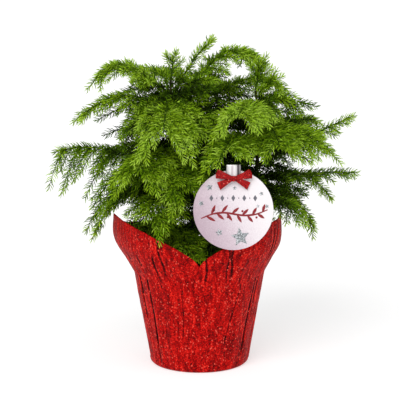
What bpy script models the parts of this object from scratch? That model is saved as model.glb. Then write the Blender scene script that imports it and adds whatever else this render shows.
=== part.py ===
# Potted Norfolk Island pine in a pleated gift cover, with a round ornament tag.
#
# Metres, +Z up. The origin is the middle of the cover's flat underside, and the plant faces -Y.
# Three seedlings stand in one nursery pot. Each has a stem, boughs and masses of foliage, and
# every mass grows from one row of the table of branches below by one seeded rule.

import bmesh
import bpy
from math import cos, exp, hypot, pi, radians, sin
from mathutils import Vector
from mathutils.bvhtree import BVHTree
from random import Random
from typing import NamedTuple

MM = 0.001
GAP = 0.3 * MM
UP = Vector((0.0, 0.0, 1.0))

# Gift cover: a tapered skirt under a flared collar with a notch at the front and at the back.
COVER_FOOT_RADIUS = 54 * MM
COVER_SLOPE = 0.173
COVER_WALL = 1.2 * MM
COVER_FILLET = 4.0 * MM
COVER_SEGMENTS = 44
COVER_ROWS = (0.34, 0.60, 0.70, 0.78, 0.86, 0.94, 1.0)
COVER_PLEAT = 0.6 * MM
NOTCH_HEIGHT = 121 * MM
PEAK_RISE = 45 * MM
PEAK_POWER = 0.64
BACK_DROP = 19 * MM
BACK_FALL = (-0.1, 0.5)
GUSSET_DIP = 7 * MM
GUSSET_WIDTH = 0.11
FLARE_START = 98 * MM
FLARE_END = 138 * MM
FLARE_WIDTH = 12.5 * MM
CURL_START = 140 * MM
CURL_END = 168 * MM
CURL_WIDTH = 4.5 * MM
FLARE_AT_NOTCH = 0.35

# Nursery pot and the potting mix that fills it.
POT_FOOT_RADIUS = 48 * MM
POT_RIM_RADIUS = 67 * MM
POT_HEIGHT = 103 * MM
POT_WALL = 1.0 * MM
POT_LIP = 1.8 * MM
POT_SEGMENTS = 32
SOIL_LEVEL = 96 * MM

# Round ornament tag on a clear stake, with its cap and ribbon bow.
TAG_CENTRE = Vector((34.9, -83.0, 183.6)) * MM
TAG_RADIUS = 41.0 * MM
TAG_THICKNESS = 1.2 * MM
TAG_LEAN = radians(6)
TAG_SEGMENTS = 48
CAP_WIDTH = 15.0 * MM
CAP_HEIGHT = 13.5 * MM
CAP_RISE = 40.0 * MM
CAP_THICKNESS = 2.4 * MM
BOW_WIDTH = 37.0 * MM
BOW_HEIGHT = 19.0 * MM
BOW_WAIST = 4.0 * MM
BOW_RISE = 32.3 * MM
BOW_THICKNESS = 3.0 * MM
BOW_NOTCH = 0.12
BOW_TAIL = 0.75
BOW_CREASE = 0.86
BOW_LOOP = 0.80
STAKE_RADIUS = 1.3 * MM
STAKE_FOOT = Vector((30.0, -44.0, 96.3)) * MM
STAKE_STAND = 12 * MM
STAKE_TOP = 0.35
STAKE_BEND = -0.20

# Limbs and foliage.
STEM_POINTS = 9
STEM_CROWDING = 1.5
STEM_TAPER = 0.6
ROOT_FLARE_HEIGHT = 9 * MM
ROOT_FLARE_GAIN = 0.5
SPINE_RADIUS = 1.35 * MM
SPINE_TIP_RADIUS = 0.8 * MM
TWIG_RADIUS = 0.9 * MM
TWIG_TIP_RADIUS = 0.6 * MM
SEGMENT = 12 * MM
NEEDLE = 12.0 * MM
TIP_NEEDLE = 7.0 * MM
NEEDLE_LEAN = radians(48)
NEEDLE_MARGIN = 0.5 * MM
TWIG_MARGIN = 0.6 * MM
TWIG_ANGLE = radians(50)
FIRST_TWIG = 0.24
FIRST_TWIG_UPRIGHT = 0.35
AFTER_BOUGH = 0.03
LAST_TWIG = 0.93
UPRIGHT_REACH = 10
NEARLY_UPRIGHT = 0.2
UPRIGHT_CLEAR = 0.5 * MM
HUMP = 2.6
STEP = 0.01
CURL_FORWARD = 0.18
ANGLE_SPREAD = 0.14
LENGTH_SPREAD = 0.12
DROOP_SPREAD = 0.3
TILT_RANGE = (-0.1, 0.25)
TWIG_LENGTH_AT_ROOT = 1.1
BOUGH_POINTS = 4
BOUGH_GAIN = 1.25
SHORTEST_RUN = 2
TAPER_TO_TIP = 0.5
BOUGH_SHARE = 0.24


class Stem(NamedTuple):
    """One seedling's stem: foot and top in plan, top height, sideways bow and foot radius (mm)."""

    name: str
    foot: tuple
    top: tuple
    height: float
    bow: float
    radius: float


class Branch(NamedTuple):
    """One branch: where it leaves its stem, where it reaches, and its side twigs (mm, degrees).

    Bearing is counted from +X towards the back, reach is the tip's distance from the stem in
    plan, tip is the tip's height, arch is how far the middle stands above a straight line, and
    droop is how far a side twig sinks for each unit of its length.
    """

    name: str
    stem: str
    height: float
    bearing: float
    reach: float
    tip: float
    arch: float
    twigs: int
    twig: float
    droop: float
    bough: bool = False


STEMS = (
    Stem("stem_main", (-22, 4), (-30, 0), 308, -4, 3.4),
    Stem("stem_right", (32, 8), (60, 5), 296, 14, 3.1),
    Stem("stem_rear", (4, 30), (10, 48), 292, 0, 2.9),
)

BRANCHES = (
    Branch("main_leader", "stem_main", 308, 60, 5, 332, 0, 5, 18, -0.1),
    Branch("main_top", "stem_main", 288, 12, 47, 350, 7, 4, 22, 0.1),
    Branch("main_top_right", "stem_main", 270, 22, 99, 330, 26, 8, 37, 0.60),
    Branch("main_upper_left", "stem_main", 290, 173, 77, 311, 19, 8, 36, 0.40),
    Branch("main_left", "stem_main", 279, 190, 98, 266, 20, 8, 36, 0.45),
    Branch("main_left_front", "stem_main", 274, 224, 56, 258, 12, 7, 30, 0.65),
    Branch("main_fan", "stem_main", 280, 266, 80, 262, 12, 9, 50, 0.75),
    Branch("main_front_right", "stem_main", 268, 303, 70, 252, 14, 7, 38, 0.60),
    Branch("main_back_left", "stem_main", 276, 122, 84, 321, -7, 7, 22, -0.05),
    Branch("main_back", "stem_main", 290, 106, 72, 302, 16, 7, 32, 0.20),
    Branch("main_far_left", "stem_main", 208, 181, 125, 230, 13, 9, 42, 1.40, True),
    Branch("main_mid_left", "stem_main", 202, 213, 98, 179, 26, 8, 27, 0.80, True),
    Branch("main_low_left", "stem_main", 194, 166, 70, 165, 26, 6, 22, 0.80, True),
    Branch("main_rim_left", "stem_main", 172, 188, 88, 136, 34, 7, 26, 0.35),
    Branch("main_mid_front", "stem_main", 236, 246, 82, 220, 12, 9, 44, 0.70),
    Branch("main_inner_front", "stem_main", 220, 284, 76, 202, 12, 9, 42, 0.70),
    Branch("main_tuft", "stem_main", 184, 248, 72, 168, 12, 9, 40, 0.65),
    Branch("main_notch", "stem_main", 140, 289, 64, 118, 13, 6, 30, 0.35),
    Branch("main_low_front", "stem_main", 150, 240, 58, 134, 16, 7, 32, 0.40),
    Branch("main_low_back_left", "stem_main", 228, 146, 92, 206, 20, 8, 32, 0.50, True),
    Branch("main_low_back", "stem_main", 176, 164, 92, 150, 26, 7, 30, 0.60),
    Branch("right_leader", "stem_right", 296, 50, 6, 319, 0, 7, 24, -0.1),
    Branch("right_top", "stem_right", 286, 348, 25, 297, 13, 5, 24, 0.1),
    Branch("right_upper", "stem_right", 276, 20, 38, 277, 12, 7, 32, 0.45),
    Branch("right_rosette", "stem_right", 276, 254, 80, 280, 8, 8, 42, 0.70),
    Branch("right_front", "stem_right", 258, 284, 80, 246, 12, 8, 40, 0.60),
    Branch("right_feather", "stem_right", 246, 318, 90, 236, 18, 9, 40, 0.45, True),
    Branch("right_far", "stem_right", 214, 3, 104, 268, 2, 8, 28, 0.45, True),
    Branch("right_level", "stem_right", 203, 8, 112, 204, 1, 7, 24, 0.35, True),
    Branch("right_low", "stem_right", 184, 347, 68, 146, 21, 7, 26, 0.45),
    Branch("right_rim", "stem_right", 170, 312, 74, 160, 18, 7, 28, 0.30),
    Branch("right_fan", "stem_right", 236, 245, 108, 229, 22, 9, 42, 0.50, True),
    Branch("right_back", "stem_right", 240, 46, 88, 256, 8, 8, 32, 0.35),
    Branch("right_far_back", "stem_right", 222, 82, 92, 214, 24, 7, 38, 0.45),
    Branch("right_low_back", "stem_right", 200, 38, 112, 164, 20, 6, 18, 0.50),
    Branch("rear_leader", "stem_rear", 292, 90, 5, 312, 0, 4, 20, -0.2),
    Branch("rear_right", "stem_rear", 284, 28, 80, 298, 8, 8, 38, 0.50),
    Branch("rear_back", "stem_rear", 272, 92, 86, 278, 20, 8, 38, 0.40),
    Branch("rear_left", "stem_rear", 262, 152, 84, 266, 18, 8, 36, 0.40),
    Branch("rear_low_back", "stem_rear", 214, 66, 92, 190, 26, 7, 38, 0.45),
    Branch("rear_low_left", "stem_rear", 192, 138, 92, 164, 26, 8, 38, 0.45),
)


def clear_scene():
    """Remove every object that the file starts with."""
    for item in list(bpy.data.objects):
        bpy.data.objects.remove(item)


def make_material(name, colour, roughness, metallic=0.0, alpha=1.0):
    """A Principled material of one plain finish."""
    material = bpy.data.materials.new(name)
    material.use_nodes = True
    shader = material.node_tree.nodes["Principled BSDF"]
    shader.inputs["Base Color"].default_value = (*colour, 1.0)
    shader.inputs["Roughness"].default_value = roughness
    shader.inputs["Metallic"].default_value = metallic
    shader.inputs["Alpha"].default_value = alpha
    return material


def add_object(name, mesh, material, collection):
    """Link a named object that carries the mesh and its material."""
    mesh.materials.clear()
    mesh.materials.append(material)
    item = bpy.data.objects.new(name, mesh)
    collection.objects.link(item)
    return item


def mesh_from_bmesh(name, shape):
    """Turn a bmesh into a mesh, and free it."""
    mesh = bpy.data.meshes.new(name)
    shape.to_mesh(mesh)
    shape.free()
    return mesh


def loft(shape, rings, closed_start=True, closed_end=True):
    """Skin equal rings with quads and close the ends; the rings turn anticlockwise about the path."""
    rows = [[shape.verts.new(point) for point in ring] for ring in rings]
    for lower, upper in zip(rows, rows[1:]):
        for i in range(len(lower)):
            j = (i + 1) % len(lower)
            shape.faces.new((lower[i], lower[j], upper[j], upper[i]))
    if closed_start:
        shape.faces.new(list(reversed(rows[0])))
    if closed_end:
        shape.faces.new(rows[-1])
    return rows


def smooth_step(value, start, end):
    """Rise from 0 at start to 1 at end, level at both."""
    share = min(max((value - start) / (end - start), 0.0), 1.0)
    return share * share * (3.0 - 2.0 * share)


def rim_height(angle):
    """Height of the collar's edge: a notch at front and back, peaks at the sides, lower behind."""
    side = abs(cos(angle))
    dip = GUSSET_DIP * exp((side - 1.0) / GUSSET_WIDTH ** 2)
    rise = PEAK_RISE - BACK_DROP * smooth_step(sin(angle), *BACK_FALL)
    return NOTCH_HEIGHT + rise * side ** PEAK_POWER - dip


def cover_radius(angle, height):
    """Outer radius of the cover without its pleats: a cone with a collar that flares and curls."""
    share = FLARE_AT_NOTCH + (1.0 - FLARE_AT_NOTCH) * cos(angle) ** 2
    flare = FLARE_WIDTH * smooth_step(height, FLARE_START, FLARE_END)
    curl = CURL_WIDTH * smooth_step(height, CURL_START, CURL_END)
    return COVER_FOOT_RADIUS + COVER_SLOPE * height + share * (flare - curl)


def build_cover(material, collection):
    """The pleated cover: an open surface with a flat floor, given its wall by Solidify."""
    def skirt_ring(share):
        """One row at a share of the edge's height, with every second point on a pleat's crest."""
        points = []
        for step in range(COVER_SEGMENTS):
            angle = 2 * pi * step / COVER_SEGMENTS
            height = rim_height(angle) * share
            pleat = COVER_PLEAT * (-1) ** step
            radius = cover_radius(angle, height) + pleat
            points.append((radius * cos(angle), radius * sin(angle), height))
        return points

    def flat_ring(radius, height):
        """One level row, for the floor and its rounded edge."""
        turns = [2 * pi * step / COVER_SEGMENTS for step in range(COVER_SEGMENTS)]
        return [(radius * cos(turn), radius * sin(turn), height) for turn in turns]

    shape = bmesh.new()
    rings = [flat_ring(COVER_FOOT_RADIUS - COVER_FILLET, 0.0), flat_ring(COVER_FOOT_RADIUS, COVER_FILLET)]
    rings += [skirt_ring(share) for share in COVER_ROWS]
    loft(shape, rings, closed_end=False)
    cover = add_object("pot_cover", mesh_from_bmesh("pot_cover", shape), material, collection)
    wall = cover.modifiers.new("wall", "SOLIDIFY")
    wall.thickness = COVER_WALL
    wall.offset = -1.0
    return cover


def turned(name, profile, segments, material, collection):
    """A piece turned about +Z from a closed profile that runs down its outer side."""
    shape = bmesh.new()
    points = [shape.verts.new((radius, 0.0, height)) for radius, height in profile]
    for i in range(len(points) - 1):
        shape.edges.new((points[i], points[i + 1]))
    mesh = bpy.data.meshes.new(name)
    shape.to_mesh(mesh)
    shape.free()
    piece = add_object(name, mesh, material, collection)
    spin = piece.modifiers.new("turn", "SCREW")
    spin.steps = segments
    spin.render_steps = segments
    spin.use_merge_vertices = True
    spin.merge_threshold = 0.01 * MM
    return piece


def build_pot(material, collection):
    """The open nursery pot with a rolled lip, standing on the cover's floor."""
    foot = COVER_WALL + GAP
    top = foot + POT_HEIGHT
    inner_foot = POT_FOOT_RADIUS - POT_WALL
    inner_rim = POT_RIM_RADIUS - POT_LIP - POT_WALL
    profile = [
        (0.0, foot + 2 * POT_WALL),
        (inner_foot, foot + 2 * POT_WALL),
        (inner_rim, top),
        (POT_RIM_RADIUS, top),
        (POT_RIM_RADIUS, top - 3 * POT_LIP),
        (POT_RIM_RADIUS - POT_LIP, top - 3 * POT_LIP),
        (POT_FOOT_RADIUS, foot),
        (0.0, foot),
    ]
    return turned("nursery_pot", profile, POT_SEGMENTS, material, collection)


def build_mix(material, collection):
    """The potting mix as one filled frustum inside the pot."""
    foot = COVER_WALL + 2 * GAP + 2 * POT_WALL
    pot_top = COVER_WALL + GAP + POT_HEIGHT
    inner_foot = POT_FOOT_RADIUS - POT_WALL
    inner_rim = POT_RIM_RADIUS - POT_LIP - POT_WALL
    slope = (inner_rim - inner_foot) / (pot_top - foot)
    clear = 2 * GAP
    profile = [
        (0.0, SOIL_LEVEL),
        (inner_foot + slope * (SOIL_LEVEL - foot) - clear, SOIL_LEVEL),
        (inner_foot - clear, foot),
        (0.0, foot),
    ]
    return turned("potting_mix", profile, POT_SEGMENTS, material, collection)


def tag_place(rise, forward):
    """A point on the tag's plane, a rise above its centre and a step towards the front."""
    up = Vector((0.0, sin(TAG_LEAN), cos(TAG_LEAN)))
    front = Vector((0.0, -cos(TAG_LEAN), sin(TAG_LEAN)))
    return TAG_CENTRE + up * rise + front * forward


def flat_outline(name, points, thickness, location, material, collection):
    """A flat piece in the tag's plane: a 2D outline extruded to half its thickness each way."""
    curve = bpy.data.curves.new(name, "CURVE")
    curve.dimensions = "2D"
    curve.fill_mode = "BOTH"
    curve.extrude = thickness / 2
    curve.resolution_u = 1
    line = curve.splines.new("POLY")
    line.points.add(len(points) - 1)
    for spot, (across, rise) in zip(line.points, points):
        spot.co = (across, rise, 0.0, 1.0)
    line.use_cyclic_u = True
    curve.materials.append(material)
    piece = bpy.data.objects.new(name, curve)
    piece.location = location
    piece.rotation_euler = (pi / 2 - TAG_LEAN, 0.0, 0.0)
    collection.objects.link(piece)
    return piece


def build_tag(card, silver, ribbon, clear, collection):
    """The tag's disc, cap and bow, each a gap in front of the last, and the stake behind them."""
    round_points = []
    for step in range(TAG_SEGMENTS):
        turn = 2 * pi * step / TAG_SEGMENTS
        round_points.append((TAG_RADIUS * cos(turn), TAG_RADIUS * sin(turn)))
    flat_outline("tag_card", round_points, TAG_THICKNESS, TAG_CENTRE, card, collection)

    half = CAP_WIDTH / 2
    low = -CAP_HEIGHT / 2
    cap_points = [(-half, low), (half, low), (half, -low), (-half, -low)]
    cap_step = TAG_THICKNESS / 2 + GAP + CAP_THICKNESS / 2
    flat_outline("tag_cap", cap_points, CAP_THICKNESS, tag_place(CAP_RISE, cap_step), silver, collection)

    wide = BOW_WIDTH / 2
    tall = BOW_HEIGHT / 2
    waist = BOW_WAIST / 2
    notch = BOW_NOTCH * tall
    right_side = [
        (waist, -waist),
        (BOW_TAIL * wide, -tall),
        (BOW_CREASE * wide, -notch),
        (wide, notch),
        (BOW_LOOP * wide, tall),
        (waist, waist),
    ]
    bow_points = right_side + [(-across, rise) for across, rise in reversed(right_side)]
    bow_step = cap_step + CAP_THICKNESS / 2 + GAP + BOW_THICKNESS / 2
    flat_outline("tag_bow", bow_points, BOW_THICKNESS, tag_place(BOW_RISE, bow_step), ribbon, collection)

    behind = -(TAG_THICKNESS / 2 + GAP + STAKE_RADIUS)
    top = tag_place(STAKE_TOP * TAG_RADIUS, behind)
    bend = tag_place(STAKE_BEND * TAG_RADIUS, behind)
    upright = STAKE_FOOT + UP * STAKE_STAND
    tube("tag_stake", [STAKE_FOOT, upright, bend, top], [STAKE_RADIUS] * 4, clear, collection)


def tube(name, points, radii, material, collection):
    """A round limb along points with its own radius at each, closed at both ends."""
    curve = bpy.data.curves.new(name, "CURVE")
    curve.dimensions = "3D"
    curve.resolution_u = 1
    curve.bevel_depth = 1.0
    curve.bevel_resolution = 2
    curve.use_fill_caps = True
    line = curve.splines.new("POLY")
    line.points.add(len(points) - 1)
    for spot, point, radius in zip(line.points, points, radii):
        spot.co = (*point, 1.0)
        spot.radius = radius
    curve.materials.append(material)
    limb = bpy.data.objects.new(name, curve)
    collection.objects.link(limb)
    return limb


def stem_point(stem, height):
    """The stem's middle at a height: a straight lean with a sideways bow."""
    share = (height - SOIL_LEVEL) / (stem.height * MM - SOIL_LEVEL)
    across = stem.foot[0] + (stem.top[0] - stem.foot[0]) * share + stem.bow * 4 * share * (1 - share)
    back = stem.foot[1] + (stem.top[1] - stem.foot[1]) * share
    return Vector((across * MM, back * MM, height))


def stem_radius(stem, height):
    """The stem's radius at a height: a straight taper with a flare at the root."""
    share = (height - SOIL_LEVEL) / (stem.height * MM - SOIL_LEVEL)
    flare = ROOT_FLARE_GAIN * exp(-(height - SOIL_LEVEL) / ROOT_FLARE_HEIGHT)
    return stem.radius * MM * (1.0 - STEM_TAPER * share + flare)


def build_stem(stem, material, collection):
    """A stem from the flat cut on the mix to its tip, with closer points in the root flare."""
    heights = [SOIL_LEVEL + GAP]
    for step in range(1, STEM_POINTS):
        share = (step / (STEM_POINTS - 1)) ** STEM_CROWDING
        heights.append(SOIL_LEVEL + GAP + share * (stem.height * MM - SOIL_LEVEL - GAP))
    points = [stem_point(stem, height) for height in heights]
    points[0].x = points[1].x
    points[0].y = points[1].y
    radii = [stem_radius(stem, height) for height in heights]
    return tube(stem.name, points, radii, material, collection)


def branch_point(branch, stem, share):
    """A point on a branch: a straight reach plus a hump that is steepest at the drooping tip."""
    start = stem_point(stem, branch.height * MM)
    bearing = radians(branch.bearing)
    reach = branch.reach * MM * share
    hump = HUMP * (share - share ** 3)
    height = branch.height + (branch.tip - branch.height) * share + branch.arch * hump
    return Vector((start.x + reach * cos(bearing), start.y + reach * sin(bearing), height * MM))


def branch_start(branch, stem):
    """The share of a branch that its stem takes up, with a gap, so that it starts clear of it."""
    if branch.reach < UPRIGHT_REACH:
        return UPRIGHT_CLEAR / ((branch.tip - branch.height) * MM)
    away = branch_point(branch, stem, STEP) - branch_point(branch, stem, 0.0)
    rise = abs(away.z) / away.length
    clear = stem_radius(stem, branch.height * MM) + GAP + SPINE_RADIUS * rise
    return STEP * clear / hypot(away.x, away.y)


def spread(first, last, count):
    """Evenly spaced values from first to last."""
    return [first + (last - first) * i / (count - 1) for i in range(count)]


def side_frame(forward):
    """The direction across a twig, level unless the twig itself stands upright."""
    across = forward.cross(UP)
    if across.length < NEARLY_UPRIGHT:
        across = Vector((1.0, 0.0, 0.0))
    return across.normalized()


class Twig:
    """A three-sided twig along a path, whose flat sides can carry one needle spray each."""

    def __init__(self, points, radii, rooted):
        self.points = points
        self.radii = radii
        self.rooted = rooted
        self.needles = set()

    def cut(self, runs):
        """Keep only the first few runs of the twig."""
        self.points = self.points[:runs + 1]
        self.radii = self.radii[:runs + 1]

    def rings(self, margin=0.0):
        """Three points round the path at each of its points, the first pointing up."""
        result = []
        last = len(self.points) - 1
        for i, point in enumerate(self.points):
            ahead = self.points[min(i + 1, last)] - self.points[max(i - 1, 0)]
            forward = ahead.normalized()
            across = side_frame(forward)
            downward = forward.cross(across).normalized()
            radius = self.radii[i] + margin
            turns = [2 * pi * side / 3 - pi / 2 for side in range(3)]
            result.append([point + (across * cos(turn) + downward * sin(turn)) * radius for turn in turns])
        return result

    def needle_tip(self, rings, run, side, margin=0.0):
        """The tip of the needle spray on one side of one run, leaning towards the twig's tip."""
        other = (side + 1) % 3
        corners = [rings[run][side], rings[run][other], rings[run + 1][side], rings[run + 1][other]]
        middle = sum(corners, Vector()) / 4
        axis = (self.points[run] + self.points[run + 1]) / 2
        outward = (middle - axis).normalized()
        forward = (self.points[run + 1] - self.points[run]).normalized()
        length = (NEEDLE if run < len(self.points) - 2 else TIP_NEEDLE) + margin
        return middle + (outward * sin(NEEDLE_LEAN) + forward * cos(NEEDLE_LEAN)) * length

    def core_triangles(self, margin=0.0, first=0):
        """The bare twig as loose triangles, for testing what it would touch."""
        rings = self.rings(margin)
        triangles = []
        owners = []
        for run in range(first, len(rings) - 1):
            for side in range(3):
                a, b = rings[run][side], rings[run][(side + 1) % 3]
                c, d = rings[run + 1][(side + 1) % 3], rings[run + 1][side]
                triangles += [(a, b, c), (a, c, d)]
                owners += [run, run]
        triangles.append(tuple(rings[-1]))
        owners.append(len(rings) - 2)
        return triangles, owners

    def needle_triangles(self, wanted, margin=0.0):
        """The given needle sprays as loose triangles, and the spray that each belongs to."""
        rings = self.rings(0.5 * margin)
        triangles = []
        owners = []
        for run, side in sorted(wanted):
            tip = self.needle_tip(rings, run, side, margin)
            a, b = rings[run][side], rings[run][(side + 1) % 3]
            c, d = rings[run + 1][(side + 1) % 3], rings[run + 1][side]
            triangles += [(a, b, tip), (b, c, tip), (c, d, tip), (d, a, tip)]
            owners += [(run, side)] * 4
        return triangles, owners

    def candidate_needles(self):
        """The sprays that the twig would carry: two of its three sides in turn, none at its root."""
        first = 1 if self.rooted else 0
        runs = range(first, len(self.points) - 1)
        return {(run, side) for run in runs for side in range(3) if (run + side) % 3 != 2}

    def mesh(self, name):
        """The closed mesh of the twig and the needle sprays that it keeps."""
        shape = bmesh.new()
        rings = self.rings()
        rows = loft(shape, rings)
        for run, side in sorted(self.needles):
            other = (side + 1) % 3
            corners = [rows[run][side], rows[run][other], rows[run + 1][other], rows[run + 1][side]]
            face = shape.faces.get(corners)
            poked = bmesh.ops.poke(shape, faces=[face])
            poked["verts"][0].co = self.needle_tip(rings, run, side)
        return mesh_from_bmesh(name, shape)


def grow_branch(index, branch, stem):
    """The spine of a branch's mass and its side twigs, by the seeded rule, and its bough's points."""
    chance = Random(1000 + index)
    start = branch_start(branch, stem)
    bough = []
    if branch.bough:
        bough = [branch_point(branch, stem, share) for share in spread(start, BOUGH_SHARE, BOUGH_POINTS)]
        start = BOUGH_SHARE + 2 * GAP / (branch.reach * MM)
    rough = branch.reach + abs(branch.tip - branch.height) / 2
    runs = max(3, round(rough * (1 - start) * MM / SEGMENT))
    points = [branch_point(branch, stem, share) for share in spread(start, 1.0, runs + 1)]
    twigs = [Twig(points, spread(SPINE_RADIUS, SPINE_TIP_RADIUS, len(points)), False)]
    upright = branch.reach < UPRIGHT_REACH
    first = FIRST_TWIG_UPRIGHT if upright else max(FIRST_TWIG, start + AFTER_BOUGH)
    for k in range(branch.twigs):
        share = first + (LAST_TWIG - first) * (k + 0.5) / branch.twigs
        root = branch_point(branch, stem, share)
        forward = (branch_point(branch, stem, share + 2 * STEP) - root).normalized()
        across = side_frame(forward) * (1 if (k + index) % 2 else -1)
        if upright:
            turn = 2 * pi * k / branch.twigs
            across = Vector((cos(turn), sin(turn), 0.0))
        angle = TWIG_ANGLE + chance.uniform(-ANGLE_SPREAD, ANGLE_SPREAD)
        length = branch.twig * MM * (TWIG_LENGTH_AT_ROOT - TAPER_TO_TIP * share)
        length *= 1 + chance.uniform(-LENGTH_SPREAD, LENGTH_SPREAD)
        droop = branch.droop * (1 + chance.uniform(-DROOP_SPREAD, DROOP_SPREAD))
        away = forward * cos(angle) + across * sin(angle) + UP * chance.uniform(*TILT_RANGE)
        twigs.append(grow_twig(root, forward, away.normalized(), length, droop))
    return twigs, bough


def grow_twig(root, forward, away, length, droop):
    """A side twig: it leaves its branch, curls along it and sinks, both with the square."""
    runs = max(2, round(length / SEGMENT))
    points = []
    for share in spread(0.0, 1.0, runs + 1):
        bend = (forward * CURL_FORWARD - UP * droop) * share ** 2
        points.append(root + (away * share + bend) * length)
    return Twig(points, spread(TWIG_RADIUS, TWIG_TIP_RADIUS, len(points)), True)


def tree_of(triangles):
    """A search tree over loose triangles."""
    points = [corner for triangle in triangles for corner in triangle]
    faces = [(i, i + 1, i + 2) for i in range(0, len(points), 3)]
    return BVHTree.FromPolygons(points, faces, all_triangles=True)


def triangles_of(item):
    """The world-space triangles of an object as its modifiers leave it."""
    view = bpy.context.evaluated_depsgraph_get()
    mesh = item.evaluated_get(view).to_mesh()
    mesh.calc_loop_triangles()
    place = item.matrix_world
    corners = [place @ vertex.co for vertex in mesh.vertices]
    triangles = [tuple(corners[i] for i in triangle.vertices) for triangle in mesh.loop_triangles]
    item.evaluated_get(view).to_mesh_clear()
    return triangles


def hit_owners(triangles, owners, obstacles):
    """The owners of the triangles that cross any of the obstacles."""
    if not triangles or not obstacles:
        return set()
    pairs = tree_of(triangles).overlap(tree_of(obstacles))
    return {owners[pair[0]] for pair in pairs}


def settle_twigs(masses, rigid):
    """Cut each side twig short before it would touch a limb or another mass."""
    cores = {}
    for name, twigs in masses.items():
        cores[name] = twigs[0].core_triangles()[0]
    for name, twigs in masses.items():
        others = rigid + [triangle for other, core in cores.items() if other != name for triangle in core]
        kept = [twigs[0]]
        for twig in twigs[1:]:
            triangles, owners = twig.core_triangles(TWIG_MARGIN)
            hits = hit_owners(triangles, owners, others)
            if hits:
                twig.cut(min(hits))
            if len(twig.points) > SHORTEST_RUN:
                kept.append(twig)
                cores[name] = cores[name] + twig.core_triangles()[0]
        masses[name] = kept


def settle_needles(masses, rigid):
    """Give each twig the needle sprays that touch nothing else; a root inside its own mass is free."""
    whole = {}
    beyond_root = {}
    for name, twigs in masses.items():
        for number, twig in enumerate(twigs):
            whole[(name, number)] = twig.core_triangles()[0]
            beyond_root[(name, number)] = twig.core_triangles(0.0, 1 if twig.rooted else 0)[0]
    grown = []
    for name, twigs in masses.items():
        for number, twig in enumerate(twigs):
            wanted = twig.candidate_needles()
            triangles, owners = twig.needle_triangles(wanted, NEEDLE_MARGIN)
            low = [min(p[axis] for t in triangles for p in t) - SEGMENT for axis in range(3)]
            high = [max(p[axis] for t in triangles for p in t) + SEGMENT for axis in range(3)]
            others = near(rigid, low, high) + near(grown, low, high)
            for key in whole:
                if key[0] != name:
                    others += near(whole[key], low, high)
                elif key[1] != number:
                    others += near(beyond_root[key], low, high)
            twig.needles = wanted - hit_owners(triangles, owners, others)
            grown += twig.needle_triangles(twig.needles)[0]


def near(triangles, low, high):
    """The triangles with a corner inside a box."""
    return [t for t in triangles if any(all(low[a] < p[a] < high[a] for a in range(3)) for p in t)]


def keep_largest(mesh):
    """Drop every loose scrap of a joined mesh but its largest piece."""
    shape = bmesh.new()
    shape.from_mesh(mesh)
    left = set(shape.verts)
    groups = []
    while left:
        group = {left.pop()}
        edge = list(group)
        while edge:
            fresh = {e.other_vert(v) for v in edge for e in v.link_edges} - group
            group |= fresh
            edge = list(fresh)
        left -= group
        groups.append(group)
    groups.sort(key=len)
    scraps = [vertex for group in groups[:-1] for vertex in group]
    bmesh.ops.delete(shape, geom=scraps, context="VERTS")
    shape.to_mesh(mesh)
    shape.free()


def join_mass(name, twigs, material, collection):
    """Join a mass's twigs by one Boolean union on a collection, applied, and drop the helpers."""
    base = add_object(name, twigs[0].mesh(name), material, collection)
    if len(twigs) == 1:
        return base
    helpers = bpy.data.collections.new(name + "_twigs")
    bpy.context.scene.collection.children.link(helpers)
    for number, twig in enumerate(twigs[1:]):
        add_object(f"{name}_twig_{number}", twig.mesh("twig"), material, helpers)
    union = base.modifiers.new("join", "BOOLEAN")
    union.operation = "UNION"
    union.operand_type = "COLLECTION"
    union.collection = helpers
    union.solver = "MANIFOLD"
    bpy.context.view_layer.update()
    view = bpy.context.evaluated_depsgraph_get()
    joined = bpy.data.meshes.new_from_object(base.evaluated_get(view))
    base.modifiers.clear()
    base.data = joined
    for helper in list(helpers.objects):
        bpy.data.objects.remove(helper)
    bpy.data.collections.remove(helpers)
    keep_largest(joined)
    return base


def build_plant(bark, needles, rigid_items, collection):
    """Stems, boughs and every mass of foliage, each keeping clear of all that stands before it."""
    stems = {stem.name: stem for stem in STEMS}
    limbs = [build_stem(stem, bark, collection) for stem in STEMS]
    masses = {}
    for index, branch in enumerate(BRANCHES):
        twigs, bough = grow_branch(index, branch, stems[branch.stem])
        masses[branch.name] = twigs
        if bough:
            radii = spread(BOUGH_GAIN * SPINE_RADIUS, SPINE_RADIUS, len(bough))
            limbs.append(tube("bough_" + branch.name, bough, radii, bark, collection))
    bpy.context.view_layer.update()
    rigid = [triangle for item in limbs + rigid_items for triangle in triangles_of(item)]
    settle_twigs(masses, rigid)
    settle_needles(masses, rigid)
    for name, twigs in masses.items():
        join_mass("mass_" + name, twigs, needles, collection)


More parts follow.
